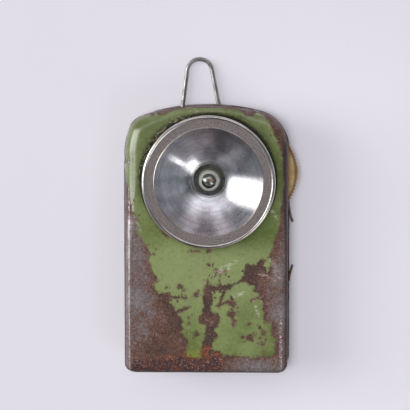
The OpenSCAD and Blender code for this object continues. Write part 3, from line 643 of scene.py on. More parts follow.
class Look(Nodes):
    """Material with places in millimetres of the part's frame."""

    def __init__(self, name):
        self.material = bpy.data.materials.new(name)
        self.material.use_nodes = True
        super().__init__(self.material.node_tree)
        self.tree.nodes.clear()
        self.bsdf = self.add("BsdfPrincipled")
        self.surface = self.add("OutputMaterial", self.bsdf.outputs[0]).inputs[0]
        coords = self.add("TexCoord").outputs["Object"]
        self.place = self.add("VectorMath", coords, operation="SCALE", Scale=1 / MM).outputs[0]
        parts = self.add("SeparateXYZ", self.place)
        self.x, self.y, self.z = (self.out(parts, k) for k in range(3))

    def set(self, **values):
        """Sets sockets of the surface by name."""
        self.fill(self.bsdf, values)

    def grain(self, size, detail=4.0, rough=0.55, bend=0.0, stretch=None, shift=0.0):
        """Noise between 0 and 1 with features of a size in millimetres."""
        place = self.place
        if stretch or shift:
            place = self.add("Mapping", place, Location=(shift,) * 3, Scale=stretch or (1, 1, 1)).outputs[0]
        node = self.add("TexNoise", place, Scale=1 / size, Detail=detail, Roughness=rough, Distortion=bend)
        return self.out(node, "Fac")

    def bands(self, value, size, detail=3.0):
        """Noise between 0 and 1 along one number, with features of a size."""
        node = self.add("TexNoise", noise_dimensions="1D", W=value, Scale=1 / size, Detail=detail)
        return self.out(node, "Fac")

    def bent(self, size, amount):
        """Place pushed about by noise, so that patterns built on it lose their straight lines."""
        push = self.add("TexNoise", self.place, Scale=1 / size, Detail=3.0).outputs["Color"]
        node = self.add("VectorMath", push, (amount,) * 3, self.place, operation="MULTIPLY_ADD")
        return node.outputs[0]

    def flakes(self, place, size):
        """One random number for each flake of a size in millimetres."""
        node = self.add("TexVoronoi", place, Scale=1 / size)
        return self.out(self.add("SeparateColor", node.outputs["Color"]))

    def ramp(self, value, stops):
        """Colour ramp from (place, colour) stops."""
        node = self.add("ValToRGB", value)
        line = node.color_ramp.elements
        while len(line) < len(stops):
            line.new(0.5)
        for element, (at, colour) in zip(line, stops):
            element.position = at
            element.color = colour
        return self.out(node)

    def number(self, name):
        """Number per vertex."""
        return self.out(self.add("Attribute", attribute_name=name), "Fac")

    def radius(self, x, y):
        """Distance from an upright axis."""
        dx, dy = self.x - x, self.y - y
        return self.math("SQRT", dx * dx + dy * dy)

    def to_world(self, kind, *parts):
        """Direction of the part's frame as one of the room's."""
        lean = self.add("CombineXYZ", *parts).outputs[0]
        ways = {"convert_from": "OBJECT", "convert_to": "WORLD"}
        return self.add("VectorTransform", lean, vector_type=kind, **ways).outputs[0]

    def dished(self, x, y, slope):
        """Normal of a shallow round dish about an upright axis, on the faces that look up."""
        dish = self.to_world("NORMAL", (x - self.x) * slope, (y - self.y) * slope, 1.0)
        plain = self.add("NewGeometry").outputs["Normal"]
        facing = self.add("VectorMath", plain, dish, operation="DOT_PRODUCT").outputs["Value"]
        return self.join(1, self.step(facing, 0.3, 0.5), plain, dish)

    def outward(self, x, y):
        """Direction straight away from an upright axis."""
        return self.to_world("VECTOR", self.x - x, self.y - y)

    def pass_shadows(self, tint):
        """Lets lamp light straight through."""
        shadow = self.add("LightPath").outputs["Is Shadow Ray"]
        through = self.add("BsdfTransparent", tint).outputs[0]
        self.put(self.surface, self.add("MixShader", shadow, self.bsdf.outputs[0], through).outputs[0])

    def bump(self, height, depth, strength=1.0, base=None):
        """Fine relief, with its depth in millimetres."""
        node = self.add("Bump", Strength=strength, Distance=depth * MM, Height=height)
        if base is not None:
            self.put(node.inputs["Normal"], base)
        return self.out(node)


# Colours
PAINT = srgb(121, 133, 85)
PAINT_PALE = srgb(137, 148, 102)
PAINT_DEEP = srgb(91, 104, 57)
PAINT_SCUFF = srgb(184, 190, 164)
PAINT_STAIN = srgb(138, 134, 52)
STEEL = srgb(122, 115, 117)
STEEL_PALE = srgb(148, 141, 143)
RUST_RED = srgb(104, 71, 58)
RUST_DARK = srgb(68, 53, 47)
RUST_ORANGE = srgb(168, 94, 46)
RUST_PALE = srgb(206, 186, 172)
# Near-black of the soiling and painted shade close to the bezel's foot
SOOT_AND_SHADE = srgb(26, 24, 21)
GLASS_IOR = 1.46


def bare_steel(look, rust, edge, crust):
    """Colour, depth of rust and fine specks of bare sheet steel."""
    patch = look.grain(6.0, 7, 0.7, shift=3)
    speck = look.grain(0.9, 6, 0.78, shift=5)
    grit = look.grain(0.55, 3, 0.65, shift=8)
    border = look.step(edge, -3.0, -0.2) * look.span(look.grain(6, 3, 0.5, shift=9), 0.3, 0.7, 0.2, 1.0)
    deep = rust + (patch - 0.5) * 1.2 + (speck - 0.5) * 2.4 + border * 0.5
    colour = look.ramp(deep, [
        (0.0, STEEL_PALE), (0.2, STEEL), (0.44, srgb(110, 97, 94)), (0.54, RUST_RED), (0.95, RUST_DARK),
    ])
    colour = look.dab(colour, grit, 0.56, 0.66, 0.45, srgb(150, 132, 126))
    colour = look.dab(colour, grit, 0.44, 0.34, 0.6, srgb(50, 38, 35))
    thin, thick = look.step(deep, 0.7, 0.3) * 0.6, look.step(deep, 0.45, 0.9) * 0.35
    colour = look.dab(colour, look.grain(0.8, 5, 0.75, shift=67), 0.55, 0.6, thin, srgb(116, 74, 64))
    colour = look.dab(colour, look.grain(1.1, 6, 0.78, shift=31), 0.55, 0.66, thick, RUST_ORANGE)
    crumbs = look.grain(0.7, 4, 0.75, shift=37)
    scale = look.ramp(look.grain(1.3, 6, 0.85, shift=33), [
        (0.36, srgb(40, 31, 38)), (0.47, srgb(62, 46, 50)), (0.54, srgb(88, 56, 46)),
        (0.63, srgb(146, 82, 44)),
    ])
    scale = look.dab(scale, crumbs, 0.58, 0.66, 0.7, RUST_PALE)
    scale = look.dab(scale, crumbs, 0.43, 0.35, 0.6, srgb(34, 27, 34))
    rim = look.step(look.y, -49.0, -46.5) * 0.5
    scale = look.dab(scale, look.grain(1.6, 4, 0.6, shift=39), 0.4, 0.6, rim, srgb(140, 78, 40))
    return look.mix(crust, colour, scale), deep, speck


def edge_wear_and_light(look):
    """Where the rolled edge is rubbed bright with a painted highlight along it, where it is pale, and where
    painted shade darkens the far right and bottom edges.
    """
    x, y, z = look.x, look.y, look.z
    streak = look.step(look.grain(1.6, 5, 0.7, stretch=(1.0, 0.4, 1.0), shift=57), 0.36, 0.5)
    flaw = look.step(look.grain(0.8, 5, 0.72, shift=61), 0.5, 0.58)
    nick = look.step(look.grain(1.1, 5, 0.75, shift=59), 0.5, 0.58)
    line = look.between(x, -32.25, -31.95, -31.6, -31.35) * look.span(flaw, 0, 1, 1.0, 0.25)
    line = line * look.span(y, -46, 20, 0.45, 1.0)
    right = look.between(x, 29.4, 29.9, 30.4, 31.0) * nick * look.step(y, -28, -32)
    front = look.step(z, FACE_Z - 9, FACE_Z - 6)
    polish_and_highlight = look.math("MULTIPLY", line * streak + right * 0.8, front, clamp=True)
    pale = look.step(x, -32.3, -32.7) * look.span(flaw, 0, 1, 1.0, 0.3)
    # Painted shade on the right and bottom edges, which face away from the lamps
    far = look.math("MAXIMUM", look.step(x, 30.6, 31.6), look.step(y, -51.6, -52.6))
    shade = far * look.step(z, FACE_Z - 0.5, FACE_Z - 1.1) * look.step(y, 46, 40)
    return polish_and_highlight, pale * front, shade


def worn_paint(name, on_shell):
    """Olive paint, rubbed through to rusted sheet steel."""
    look = Look(name)
    x, y, z = look.x, look.y, look.z
    coarse = look.grain(2.4, 6, 0.65)
    crooked = look.bent(1.6, 1.6)
    if on_shell:
        base, rust, grime_and_shade, crust, scuff, stain = (look.number(field_name) for field_name in SHELL_FIELDS)
        crust = look.step(crust + (coarse - 0.5) * 5.0, -0.8, 0.8)
    else:
        back = look.step(z, 1.4, 0.4) * 4
        base = (look.grain(12, 6, 0.65) - 0.5) * 16 + (back - 3.0)
        rust = look.span(look.grain(9, 3, 0.5, shift=40), 0.3, 0.7, -0.1, 0.6)
        grime_and_shade = look.step(look.grain(20, 2), 0.3, 0.7) * 0.1
        crust = scuff = stain = 0.0
    chips = (look.flakes(crooked, 1.25) - 0.5) * 0.75
    crumbs = (look.flakes(crooked, 0.5) - 0.5) * 0.55
    lost = look.step(look.flakes(crooked, 0.8), 0.96, 0.97) * (1.0 - look.step(base, 0.3, 3.0))
    edge = base + ((coarse - 0.5) * 1.5 + chips + crumbs) - lost * 4.0
    painted = look.step(edge, -0.06, 0.06)
    bare_now = 1.0 - painted

    mottle = look.grain(1.3, 5, 0.62, shift=7)
    dust = look.grain(0.32, 3, 0.6, shift=19)
    green = look.mix(look.step(look.grain(17, 4, 0.55), 0.34, 0.66), PAINT_DEEP, PAINT)
    green = look.mix(look.between(y, -40, -16, -8, 4) * 0.75, green, PAINT_PALE)
    green = look.dab(green, mottle, 0.5, 0.72, 0.4, PAINT_PALE)
    green = look.dab(green, mottle, 0.48, 0.3, 0.45, PAINT_DEEP)
    green = look.dab(green, look.grain(4.0, 6, 0.7, bend=1.5, shift=27), 0.52, 0.7, 0.35, srgb(98, 104, 66))
    green = look.dab(green, dust, 0.64, 0.74, 0.35, PAINT_SCUFF)
    green = look.dab(green, dust, 0.36, 0.26, 0.45, srgb(66, 70, 42))
    drag = look.grain(0.6, 4, 0.7, stretch=(0.35, 1.0, 1.0), bend=0.8, shift=21)
    rub = scuff * look.step(drag, 0.45, 0.6)
    green = look.mix(look.math("MULTIPLY", rub, 0.8, clamp=True), green, PAINT_SCUFF)
    green = look.mix(stain * 0.45, green, PAINT_STAIN)
    green = look.dab(green, edge, 0.8, 0.0, 0.55, srgb(92, 78, 54))

    bare, deep, speck = bare_steel(look, rust, edge, crust)
    bare = look.mix(look.math("MULTIPLY", rub, 0.5, clamp=True), bare, RUST_PALE)
    rolled = 0.0
    if on_shell:
        # Painted highlight along the rubbed left and right edges, and painted shade on the far right and
        # bottom edges
        polish_and_highlight, pale, shade = edge_wear_and_light(look)
        bare = look.mix(shade * 0.75, bare, srgb(70, 61, 62))
        bare = look.mix(pale * 0.5, bare, srgb(146, 138, 142))
        bare = look.mix(polish_and_highlight * 0.9, bare, srgb(214, 209, 208))
        bare = look.dab(bare, x, -33.3, -33.75, look.span(coarse, 0.4, 0.6, 0.5, 0.9), srgb(86, 66, 56))
        rolled = look.between(z, FACE_Z - 8, FACE_Z - 5, FACE_Z - 1.4, FACE_Z - 0.4) * look.step(y, 44, 36)
    colour = look.mix(painted, bare, green)
    crumbly = look.grain(1.0, 6, 0.75, shift=51)
    # The dark band round the bezel is part soiling and part painted shade, with a near-black core close to
    # the bezel
    dirt_and_shade = grime_and_shade * look.span(crumbly, 0.3, 0.7, 0.7, 1.3)
    colour = look.mix(look.math("MULTIPLY", dirt_and_shade, 0.9, clamp=True), colour, srgb(52, 50, 30))
    soot_and_shade = look.span(look.grain(0.5, 4, 0.7, shift=53), 0.4, 0.7, 0.95, 0.6)
    colour = look.dab(colour, grime_and_shade + (crumbly - 0.5) * 0.6, 0.36, 0.72, soot_and_shade, SOOT_AND_SHADE)

    # The walls are duller than the front, and the flat of the face has less glare than its rolled edges
    front = look.step(z, FACE_Z - 12, FACE_Z - 7)
    flat = look.step(z, FACE_Z - 0.25, FACE_Z - 0.04) * look.step(x, -27.0, -24.0) * look.step(y, 44.0, 40.0)
    gloss = look.span(look.grain(6, 4, 0.6, shift=61), 0.3, 0.7, 0.17, 0.3) + rub * 0.2
    coat = painted * look.math("SUBTRACT", 0.9, dirt_and_shade, clamp=True) * look.span(front, 0, 1, 0.12, 1.0)
    sheen = look.span(front, 0, 1, 0.25, 0.55) * look.span(flat, 0, 1, 1.0, 0.3)
    dull = look.blend(rolled, look.span(deep, 0.0, 0.9, 0.34, 0.7), look.span(deep, 0.0, 1.0, 0.3, 0.5))
    shine = look.blend(rolled, look.span(deep, 0.0, 0.6, 0.5, 0.05), look.span(deep, 0.2, 1.1, 0.95, 0.55))
    orange_peel = look.bump(look.grain(0.9, 2, 0.5, shift=71), 0.02, 0.35, look.bump(painted, 0.08, 0.9))
    rough = bare_now * (speck + crust * look.grain(0.7, 4, 0.7, shift=33))
    look.set(
        Base_Color=colour,
        Metallic=bare_now * shine,
        Roughness=look.blend(painted, dull, gloss + look.span(front, 0, 1, 0.25, 0.0)),
        Specular_IOR_Level=look.blend(painted, 0.4, sheen),
        Coat_Weight=coat * look.span(flat, 0, 1, 1.0, 0.15),
        Coat_IOR=1.58,
        Coat_Roughness=0.06,
        Normal=look.bump(rough, 0.13, 0.8, orange_peel),
    )
    return look.material


def nickel():
    """Plated bezel: bright rolled edges and a dull, granular flat between them."""
    look = Look("nickel_bezel")
    flat = look.between(look.radius(LENS_X, LENS_Y), 22.2, 22.4, 25.35, 25.75)
    sand = look.grain(0.5, 5, 0.72)
    cloud = look.grain(5, 4, 0.6, shift=9)
    bright = look.mix(look.step(cloud, 0.35, 0.7), srgb(236, 232, 226), srgb(214, 206, 196))
    grey = look.mix(look.step(sand, 0.37, 0.63), srgb(88, 82, 82), srgb(152, 143, 140))
    grey = look.dab(grey, look.grain(3.0, 5, 0.7, shift=27), 0.5, 0.72, 0.45, srgb(96, 88, 86))
    spots = look.step(look.grain(1.6, 6, 0.7, shift=17), 0.62, 0.68)
    # Soiling and painted shade: the bezel's skirt goes dark towards the case face
    foot = look.step(look.z, 29.6, 28.3)
    colour = look.mix(spots * 0.75, look.mix(flat, bright, grey), srgb(92, 62, 48))
    look.set(
        Base_Color=look.mix(foot * 0.85, colour, srgb(46, 40, 36)),
        Metallic=look.blend(flat, 1.0, 0.35) - (spots * 0.3 + foot * 0.3),
        Roughness=look.blend(flat, 0.13, 0.46) + (sand - 0.5) * 0.18,
        Normal=look.bump(sand * (flat + 0.15), 0.06, 0.8, look.bump(cloud, 0.25, 0.4)),
    )
    return look.material


def mirror():
    """Polished bowl with a haze of dust and a little tarnish."""
    look = Look("polished_bowl")
    haze = look.grain(7, 5, 0.6)
    dust = look.step(look.grain(0.4, 3, 0.6, shift=13), 0.65, 0.7)
    r = look.radius(LENS_X, LENS_Y)
    rings = look.bands(r, 1.6)
    line = look.between(r, CREASE_R - 0.3, CREASE_R, CREASE_R, CREASE_R + 0.25)
    tint = look.mix(look.step(haze, 0.4, 0.7), srgb(244, 245, 250), srgb(220, 212, 216))
    tint = look.dab(tint, rings, 0.55, 0.3, 0.3, srgb(176, 178, 190))
    tint = look.mix(line * 0.7, tint, srgb(128, 88, 78))
    spun = look.grain(1.0, 3, 0.6, stretch=(0.25, 1.3, 0.25), shift=31)
    waves = look.grain(8, 3, 0.5, shift=23) + spun * 0.05
    look.set(
        Base_Color=look.mix(dust * 0.7, tint, srgb(226, 222, 216)),
        Metallic=1.0 - dust * 0.6,
        Roughness=look.span(haze, 0.3, 0.7, 0.12, 0.22) + dust * 0.3,
        Anisotropic=look.span(rings, 0.3, 0.7, 0.58, 0.82),
        Tangent=look.outward(LENS_X, LENS_Y),
        Normal=look.bump(waves, 0.3, 0.2, look.dished(LENS_X, LENS_Y, BOWL_LEAN)),
    )
    return look.material


def lens_glass():
    """Clear glass with a faint film of dust, which lets lamp light straight through."""
    look = Look("lens_glass")
    film = look.grain(4, 5, 0.6)
    look.set(
        Base_Color=look.mix(look.step(film, 0.4, 0.8), (1, 1, 1, 1), (0.97, 0.98, 0.97, 1)),
        Roughness=look.span(film, 0.3, 0.8, 0.0, 0.06),
        Transmission_Weight=1.0,
        IOR=GLASS_IOR,
    )
    look.pass_shadows((0.9, 0.9, 0.9, 1))
    return look.material


def lens_bulb():
    """Bulb glass with a thick pale shoulder, its paleness a painted reflection, and a dark ring of painted
    shade round its clear end.
    """
    look = Look("bulb_glass")
    r = look.radius(LENS_X, LENS_Y) + (look.grain(1.6, 3, 0.55) - 0.5) * 0.9
    # The pale shoulder is a painted reflection of the glass, and the dark ring is painted shade
    shoulder = look.between(r, 2.9, 3.2, 4.1, 4.35)
    shade = look.between(r, 1.65, 1.9, 2.9, 3.2)
    colour = look.mix(shoulder, (0.94, 0.96, 0.92, 1), srgb(198, 200, 182))
    look.set(
        Base_Color=look.mix(shade, colour, srgb(22, 22, 26)),
        Roughness=shoulder * 0.3 + 0.02,
        Transmission_Weight=1.0 - look.math("ADD", shoulder * 0.75, shade * 0.9, clamp=True),
        IOR=GLASS_IOR,
        Coat_Weight=1.0,
        Coat_IOR=2.4,
        Coat_Roughness=0.05,
    )
    look.pass_shadows((0.95, 0.95, 0.95, 1))
    return look.material


def metal(name, light, dark, stain, size, rough=(0.28, 0.5)):
    """Worn bare metal with stains and fine scratches."""
    look = Look(name)
    cloud = look.grain(size, 5, 0.6)
    scratch = look.grain(0.35, 4, 0.65, shift=5)
    spots = look.step(look.grain(size * 0.35, 6, 0.68, shift=15), 0.58, 0.68)
    colour = look.mix(look.step(cloud, 0.35, 0.7), srgb(*light), srgb(*dark))
    look.set(
        Base_Color=look.mix(spots * 0.7, colour, srgb(*stain)),
        Metallic=look.blend(spots, 1.0, 0.35),
        Roughness=look.span(cloud, 0.3, 0.7, *rough) + (scratch - 0.5) * 0.25,
        Normal=look.bump(scratch + spots * -0.5, 0.02, 0.5),
    )
    return look.material


def tan_plastic():
    """Moulded plastic that lets a little light in, darker at the roots of its teeth."""
    look = Look("tan_plastic")
    cloud = look.grain(5, 4, 0.6)
    sand = look.grain(0.5, 4, 0.65, shift=7)
    root = look.between(look.radius(WHEEL_X, WHEEL_Y), 18.6, 19.4, 19.7, 20.3)
    colour = look.mix(look.step(cloud, 0.3, 0.7), srgb(198, 172, 130), srgb(168, 138, 96))
    colour = look.dab(colour, sand, 0.55, 0.75, 0.4, srgb(150, 118, 82))
    look.set(
        Base_Color=look.mix(root * 0.75, colour, srgb(84, 62, 42)),
        Roughness=look.span(cloud, 0.3, 0.7, 0.3, 0.48),
        Subsurface_Weight=0.35,
        Subsurface_Radius=(1.0, 0.6, 0.35),
        Subsurface_Scale=0.0015,
        Normal=look.bump(sand, 0.03, 0.5),
    )
    return look.material


def dry_sheet(name, light, dark, grain_size, rough, stretch=None):
    """Card, fibre or pitch: dull, with a fine grain."""
    look = Look(name)
    fibre = look.grain(grain_size, 4, 0.65, stretch=stretch, shift=3)
    colour = look.mix(look.step(look.grain(12, 4, 0.6), 0.3, 0.7), srgb(*light), srgb(*dark))
    look.set(
        Base_Color=look.dab(colour, fibre, 0.5, 0.75, 0.4, srgb(*dark)),
        Roughness=look.span(fibre, 0.3, 0.7, rough - 0.08, rough + 0.08),
        Normal=look.bump(fibre, 0.05, 0.6),
    )
    return look.material


def place_piece(piece, material, body, slot_name, *stands_for):
    """Gives a made piece its material and its body, and hides the CAD nodes it stands for."""
    piece.data.materials.clear()
    piece.data.materials.append(material)
    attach(piece, body)
    if stands_for:
        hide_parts(*stands_for)
    return piece


def tidy_normals(piece):
    """Turns every face outwards."""
    shape = bmesh.new()
    shape.from_mesh(piece.data)
    bmesh.ops.recalc_face_normals(shape, faces=shape.faces)
    shape.to_mesh(piece.data)
    shape.free()


def bowl_height(r):
    """Height of the polished bowl at a radius."""
    return BOWL_TOP - BOWL_DEPTH * (1 - (r * r - CREASE_R ** 2) / (BOWL_R ** 2 - CREASE_R ** 2))


def reflector_bowl():
    """Polished bowl with a fine profile, so that its reflections run smoothly."""
    steps = 48
    bottom = bowl_height(CREASE_R) - NECK_DROP
    radii = [CREASE_R + (BOWL_R - CREASE_R) * i / steps for i in range(steps + 1)]
    upper = [(r, bowl_height(r)) for r in radii]
    drop = 1.2 * BOWL_SHEET
    lower = [(r + BOWL_SHEET / 2, z - drop) for r, z in reversed(upper)]
    rim_r = COLLAR_R - 0.1
    profile = [(NECK_R, bottom - NECK_DROP), (NECK_R, bottom)] + upper
    profile += [(rim_r, BOWL_TOP), (rim_r, COLLAR_TOP), (BOWL_R + 2 * BOWL_SHEET, COLLAR_TOP)]
    profile += lower
    profile += [(NECK_R + BOWL_SHEET, bottom - drop), (NECK_R + BOWL_SHEET, bottom - NECK_DROP)]
    return revolve("polished_reflector", profile)


def bezel():
    """Bezel ring with a rolled rim, a flat and a beaded inner edge."""
    rim_x = BEZEL_R - RIM_R
    rim_end = 180 - math.degrees(math.asin((BEZEL_FLAT - RIM_Z) / RIM_R))
    bead_x = APERTURE_R + BEAD_R
    profile = [(BEZEL_R, BEZEL_FOOT), (BEZEL_R, 29.5), (BEZEL_R, 30.8)]
    profile += arc(rim_x, RIM_Z, RIM_R, 0, rim_end, 16)
    profile += [(25.0, BEZEL_FLAT), (23.8, BEZEL_FLAT), (bead_x + BEAD_R, BEZEL_FLAT)]
    profile += arc(bead_x, BEZEL_FLAT - 0.05, BEAD_R, 0, 180, 12)
    inner = BEZEL_R - BEZEL_SHEET
    profile += [(APERTURE_R, GLASS_TOP), (inner, GLASS_TOP), (inner, BEZEL_FOOT)]
    return revolve("bezel_plated", profile)


def lip_rolls():
    """Rolled free edges of the cover's two flared lips beside the thumb notch."""
    points, faces = [], []
    for root, end in LIPS:
        steps = [i / 8 for i in range(9)]
        path = [(COVER_X + LIP_FLARE * s * s, root + (end - root) * s, LIP_Z) for s in steps]
        blunt = path[-1]
        path.append((blunt[0], blunt[1] + math.copysign(0.1, end - root), blunt[2]))
        add_thread(points, faces, path, LIP_R, 10)
    return make_mesh("lip_rolls", points, faces)


def socket_flange():
    """Dull flange that closes the reflector's hole round the socket."""
    low = [(FLANGE_IN, FLANGE_LOW), (FLANGE_OUT, FLANGE_LOW)]
    return revolve("socket_flange", low + [(FLANGE_OUT, FLANGE_TOP), (FLANGE_IN, FLANGE_TOP)])


def add_thread(points, faces, path, radius, sides=5):
    """Thin closed tube along a path."""
    first = len(points)
    for k, place in enumerate(path):
        ahead = (Vector(path[min(k + 1, len(path) - 1)]) - Vector(path[max(k - 1, 0)])).normalized()
        up = Vector((0, 0, 1)) if abs(ahead.z) < 0.9 else Vector((1, 0, 0))
        across = ahead.cross(up).normalized()
        rise = across.cross(ahead)
        thin = radius * (0.35 if k in (0, len(path) - 1) else 1.0)
        for i in range(sides):
            a = 2 * math.pi * i / sides
            points.append(tuple(Vector(place) + thin * (math.cos(a) * across + math.sin(a) * rise)))
    loops = [range(first + k * sides, first + (k + 1) * sides) for k in range(len(path))]
    bridge(faces, *loops)
    faces.append(tuple(reversed(loops[0])))
    faces.append(tuple(loops[-1]))


def lint():
    """Dust fibres caught in the soiling between the bezel and the paint, mostly at the upper left."""
    pick = random.Random(5)
    points, faces = [], []
    for _ in range(LINT_COUNT):
        turn = math.radians(pick.uniform(LINT_FROM, LINT_TO))
        r = BEZEL_R + 0.3 + 1.3 * pick.random() ** 2
        x, y = polar(r, turn)
        heading = turn + math.pi / 2 + pick.uniform(-0.5, 0.7)
        bend = pick.uniform(-0.35, 0.35)
        step = pick.uniform(0.08, 0.3)
        path = []
        for k in range(11):
            rise = 0.12 + 0.25 * math.sin(math.pi * k / 10)
            path.append((x, y, FACE_Z + rise))
            x += step * math.cos(heading)
            y += step * math.sin(heading)
            heading += bend
        if min(math.hypot(p[0] - LENS_X, p[1] - LENS_Y) for p in path) > BEZEL_R + 0.15:
            add_thread(points, faces, path, LINT_R * pick.uniform(0.6, 1.2))
    return make_mesh("lint", points, faces)


STEEL_WIRE = metal("loop_steel", (196, 194, 192), (150, 146, 142), (94, 74, 60), 3.0)
DULL_STEEL = metal("dull_steel", (150, 146, 142), (112, 106, 102), (84, 60, 48), 2.5, (0.35, 0.6))
BRASS = metal("tarnished_brass", (196, 158, 92), (150, 112, 62), (92, 66, 42), 3.0)
SOCKET = metal("socket_nickel", (122, 120, 116), (92, 90, 87), (128, 82, 60), 1.6, (0.35, 0.6))
BULB_BASE = metal("bulb_base", (176, 178, 158), (136, 138, 120), (110, 84, 60), 2.0, (0.3, 0.5))
DARK_BRASS = metal("dark_brass", (112, 96, 62), (84, 70, 46), (60, 50, 38), 2.0, (0.4, 0.6))
FLANGE = metal("socket_flange", (116, 122, 116), (84, 90, 84), (128, 88, 76), 1.4, (0.4, 0.6))
SOLDER = metal("solder", (186, 186, 188), (140, 140, 144), (96, 92, 90), 1.0)
CARD = dry_sheet("buff_card", (196, 172, 128), (160, 132, 88), 0.5, 0.8, (0.2, 1.0, 1.0))
LINER = dry_sheet("brown_card", (158, 124, 84), (120, 88, 56), 0.4, 0.85)
FIBRE = dry_sheet("red_fibre", (126, 62, 44), (88, 42, 32), 0.3, 0.6)
PITCH = dry_sheet("black_pitch", (38, 34, 32), (20, 18, 18), 1.5, 0.42)
LINT = dry_sheet("tan_lint", (206, 196, 160), (150, 138, 100), 0.8, 0.85)
BEAD = dry_sheet("tan_bead", (214, 192, 150), (168, 142, 100), 0.6, 0.3)
BLACK_GLASS = dry_sheet("black_glass", (30, 30, 34), (16, 16, 18), 0.8, 0.2)
COVER_PAINT = worn_paint("worn_cover", False)

# Materials of the CAD solids that are shown as they are
NODE_LOOKS = [
    (COVER_PAINT, ["rear_cover"]),
    (STEEL_WIRE, ["hanging_loop"]),
    (DULL_STEEL, ["hinge_pin", "loop_strap", "strap_rivets", "wheel_axle", "wheel_washer", "board_rivets"]),
    (BRASS, ["contact_bridge", "bridge_rivets", "wheel_spacer", "switch_spring", "battery_contact"]),
    (BRASS, ["battery_tongue_long", "battery_tongue_short"]),
    (DARK_BRASS, ["board_eyelets", "bulb_contact_strip"]),
    (SOCKET, ["bulb_socket"]),
    (BULB_BASE, ["bulb_base"]),
    (SOLDER, ["bulb_tip"]),
    (BLACK_GLASS, ["bulb_insulator"]),
    (BEAD, ["bulb_filament"]),
    (lens_glass(), ["lens_glass"]),
    (lens_bulb(), ["bulb_glass"]),
    (tan_plastic(), ["thumbwheel"]),
    (FIBRE, ["contact_board"]),
    (LINER, ["insulating_liner"]),
    (CARD, ["battery_body"]),
    (PITCH, ["battery_top"]),
]
for material, names in NODE_LOOKS:
    for name in names:
        mesh = nodes[name].data
        mesh.materials.clear()
        mesh.materials.append(material)

place_piece(front_shell(), worn_paint("worn_shell", True), "case", "green_paint", "front_shell")
bowl = reflector_bowl()
ring = bezel()
flange = socket_flange()
for piece in (bowl, ring, flange):
    tidy_normals(piece)
    crisp(piece, 32)
place_piece(bowl, mirror(), "case", "reflector_mirror", "reflector")
place_piece(ring, nickel(), "case", "nickel", "bezel_ring")
place_piece(flange, FLANGE, "case", None)
place_piece(lip_rolls(), COVER_PAINT, "cover", "green_paint")
place_piece(lint(), LINT, "case", None)

# Floor
FLOOR_HALF, FLOOR_Z = 3000.0, -0.2
corners = [(x * FLOOR_HALF, y * FLOOR_HALF, FLOOR_Z) for x, y in ((-1, -1), (1, -1), (1, 1), (-1, 1))]
floor = make_mesh("floor", corners, [(0, 1, 2, 3)], smooth=False)
paper = Look("paper")
# Painted shade: the floor is coloured darker towards the left and beyond the top, where the lamps light it
# most
bright = paper.span(paper.x, -75, 45, 0, 0.8) * paper.span(paper.y, 30, 100, 1, 0.3)
paper.set(
    Base_Color=paper.mix(bright + paper.grain(60, 3, 0.5) * 0.2, srgb(215, 213, 220), srgb(228, 226, 234)),
    Roughness=0.8,
    Specular_IOR_Level=0.1,
)
floor.data.materials.append(paper.material)

# Light
scene = bpy.context.scene
world = bpy.data.worlds.new("room")
world.use_nodes = True
scene.world = world
LOW_LIGHT, WALL_LIGHT, CEILING_LIGHT, SOFT_LIGHT = 0.07, 0.16, 0.22, 0.19
LAMP_EDGE = 0.36


def light_room(tree):
    """Darker walls and a paler ceiling for reflections, and an even glow for everything dull."""
    room = Nodes(tree)
    way = room.add("TexCoord").outputs["Generated"]
    parts = room.add("SeparateXYZ", way)
    y, z = room.out(parts, 1), room.out(parts, 2)
    low = room.step(z, 0.10, 0.36, LOW_LIGHT, WALL_LIGHT)
    rise = room.step(z, 0.5, 0.95, low, CEILING_LIGHT)
    squeeze = room.add("Mapping", way, Scale=(1.0, 1.0, 0.5))
    panels = room.add("TexNoise", squeeze.outputs[0], Scale=2.6, Detail=2.0)
    panel = room.span(panels.outputs["Fac"], 0.40, 0.60, 0.3, 1.8)
    glow = rise * room.span(y, 0, 1, 1.0, 2.4) * panel
    across = room.math("POWER", room.math("ABSOLUTE", y), 2.0)
    dull = room.add("LightPath").outputs["Is Diffuse Ray"]
    room.fill(tree.nodes["Background"], {
        "Strength": room.blend(dull, glow, SOFT_LIGHT),
        "Color": room.mix(across, (0.83, 0.89, 1.0, 1), (1.0, 0.80, 0.84, 1)),
    })


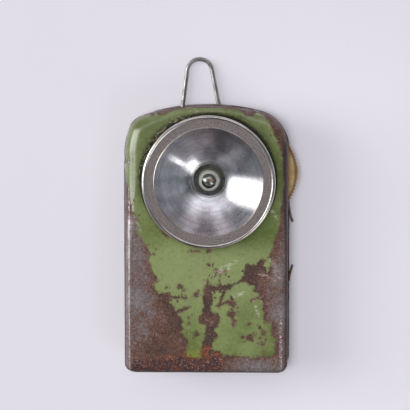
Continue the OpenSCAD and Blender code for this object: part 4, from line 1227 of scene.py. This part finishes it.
def lamp(name, place, aim, size, watts, colour):
    """Soft box that looks at a point and fades towards its edges."""
    data = bpy.data.lights.new(name, "AREA")
    data.shape = "RECTANGLE"
    data.size, data.size_y = size
    data.energy = watts
    data.color = colour
    data.use_nodes = True
    glow = Nodes(data.node_tree)
    across = glow.add("SeparateXYZ", glow.add("NewGeometry").outputs["Parametric"])
    fades = [glow.step(glow.math("PINGPONG", across.outputs[k], 0.5), 0.0, LAMP_EDGE) for k in (0, 1)]
    glow.fill(data.node_tree.nodes["Emission"], {"Strength": fades[0] * fades[1]})
    box = bpy.data.objects.new(name, data)
    scene.collection.objects.link(box)
    box.location = place
    box.rotation_euler = (Vector(aim) - Vector(place)).to_track_quat("-Z", "Y").to_euler()
    return box


light_room(world.node_tree)
WARM = (1.0, 0.99, 0.97)
MIDDLE = (0, 0.02, 0.02)
overhead = lamp("overhead", (-0.10, 0.12, 1.6), (0, 0.01, 0), (0.56, 0.56), 31.5, (1.0, 0.985, 1.0))
overhead.visible_glossy = False
overhead.visible_transmission = False
lamp("key", (-1.49, 0.34, 1.28), MIDDLE, (1.6, 1.6), 34.0, WARM)
lamp("key_low", (-1.92, 0.32, 0.58), MIDDLE, (1.5, 1.0), 22.0, WARM)
lamp("loop_side", (0.0, 0.78, 1.2), (0, 0.0, 0.03), (3.0, 1.0), 4.9, (0.98, 0.98, 1.0))
lamp("corner", (0.49, -0.51, 1.09), MIDDLE, (0.62, 0.66), 3.4, WARM)
lamp("streak", (0.93, -0.70, 0.78), MIDDLE, (0.24, 0.62), 0.85, WARM)

# Camera: nearly straight above, a little towards the loop and the thumbwheel
TARGET = Vector((-0.83, 15.35, 28.0)) * MM
LEAN_Y, LEAN_X = math.radians(5.7), math.radians(1.52)
FIELD = 166.26 * MM
LENS_MM = 151.7
data = bpy.data.cameras.new("camera")
data.sensor_width = 36.0
data.lens = LENS_MM
camera = bpy.data.objects.new("camera", data)
scene.collection.objects.link(camera)
back = Vector((math.tan(LEAN_X), math.tan(LEAN_Y), 1.0)).normalized()
away = FIELD * LENS_MM / data.sensor_width
camera.location = TARGET + back * away
side_way = Vector((0, 1, 0)).cross(back).normalized()
up_way = back.cross(side_way)
camera.rotation_euler = Matrix((side_way, up_way, back)).transposed().to_euler()
data.clip_start, data.clip_end = 0.01, 10
scene.camera = camera

scene.render.engine = "CYCLES"
scene.cycles.seed = 3
scene.view_settings.view_transform = "Standard"
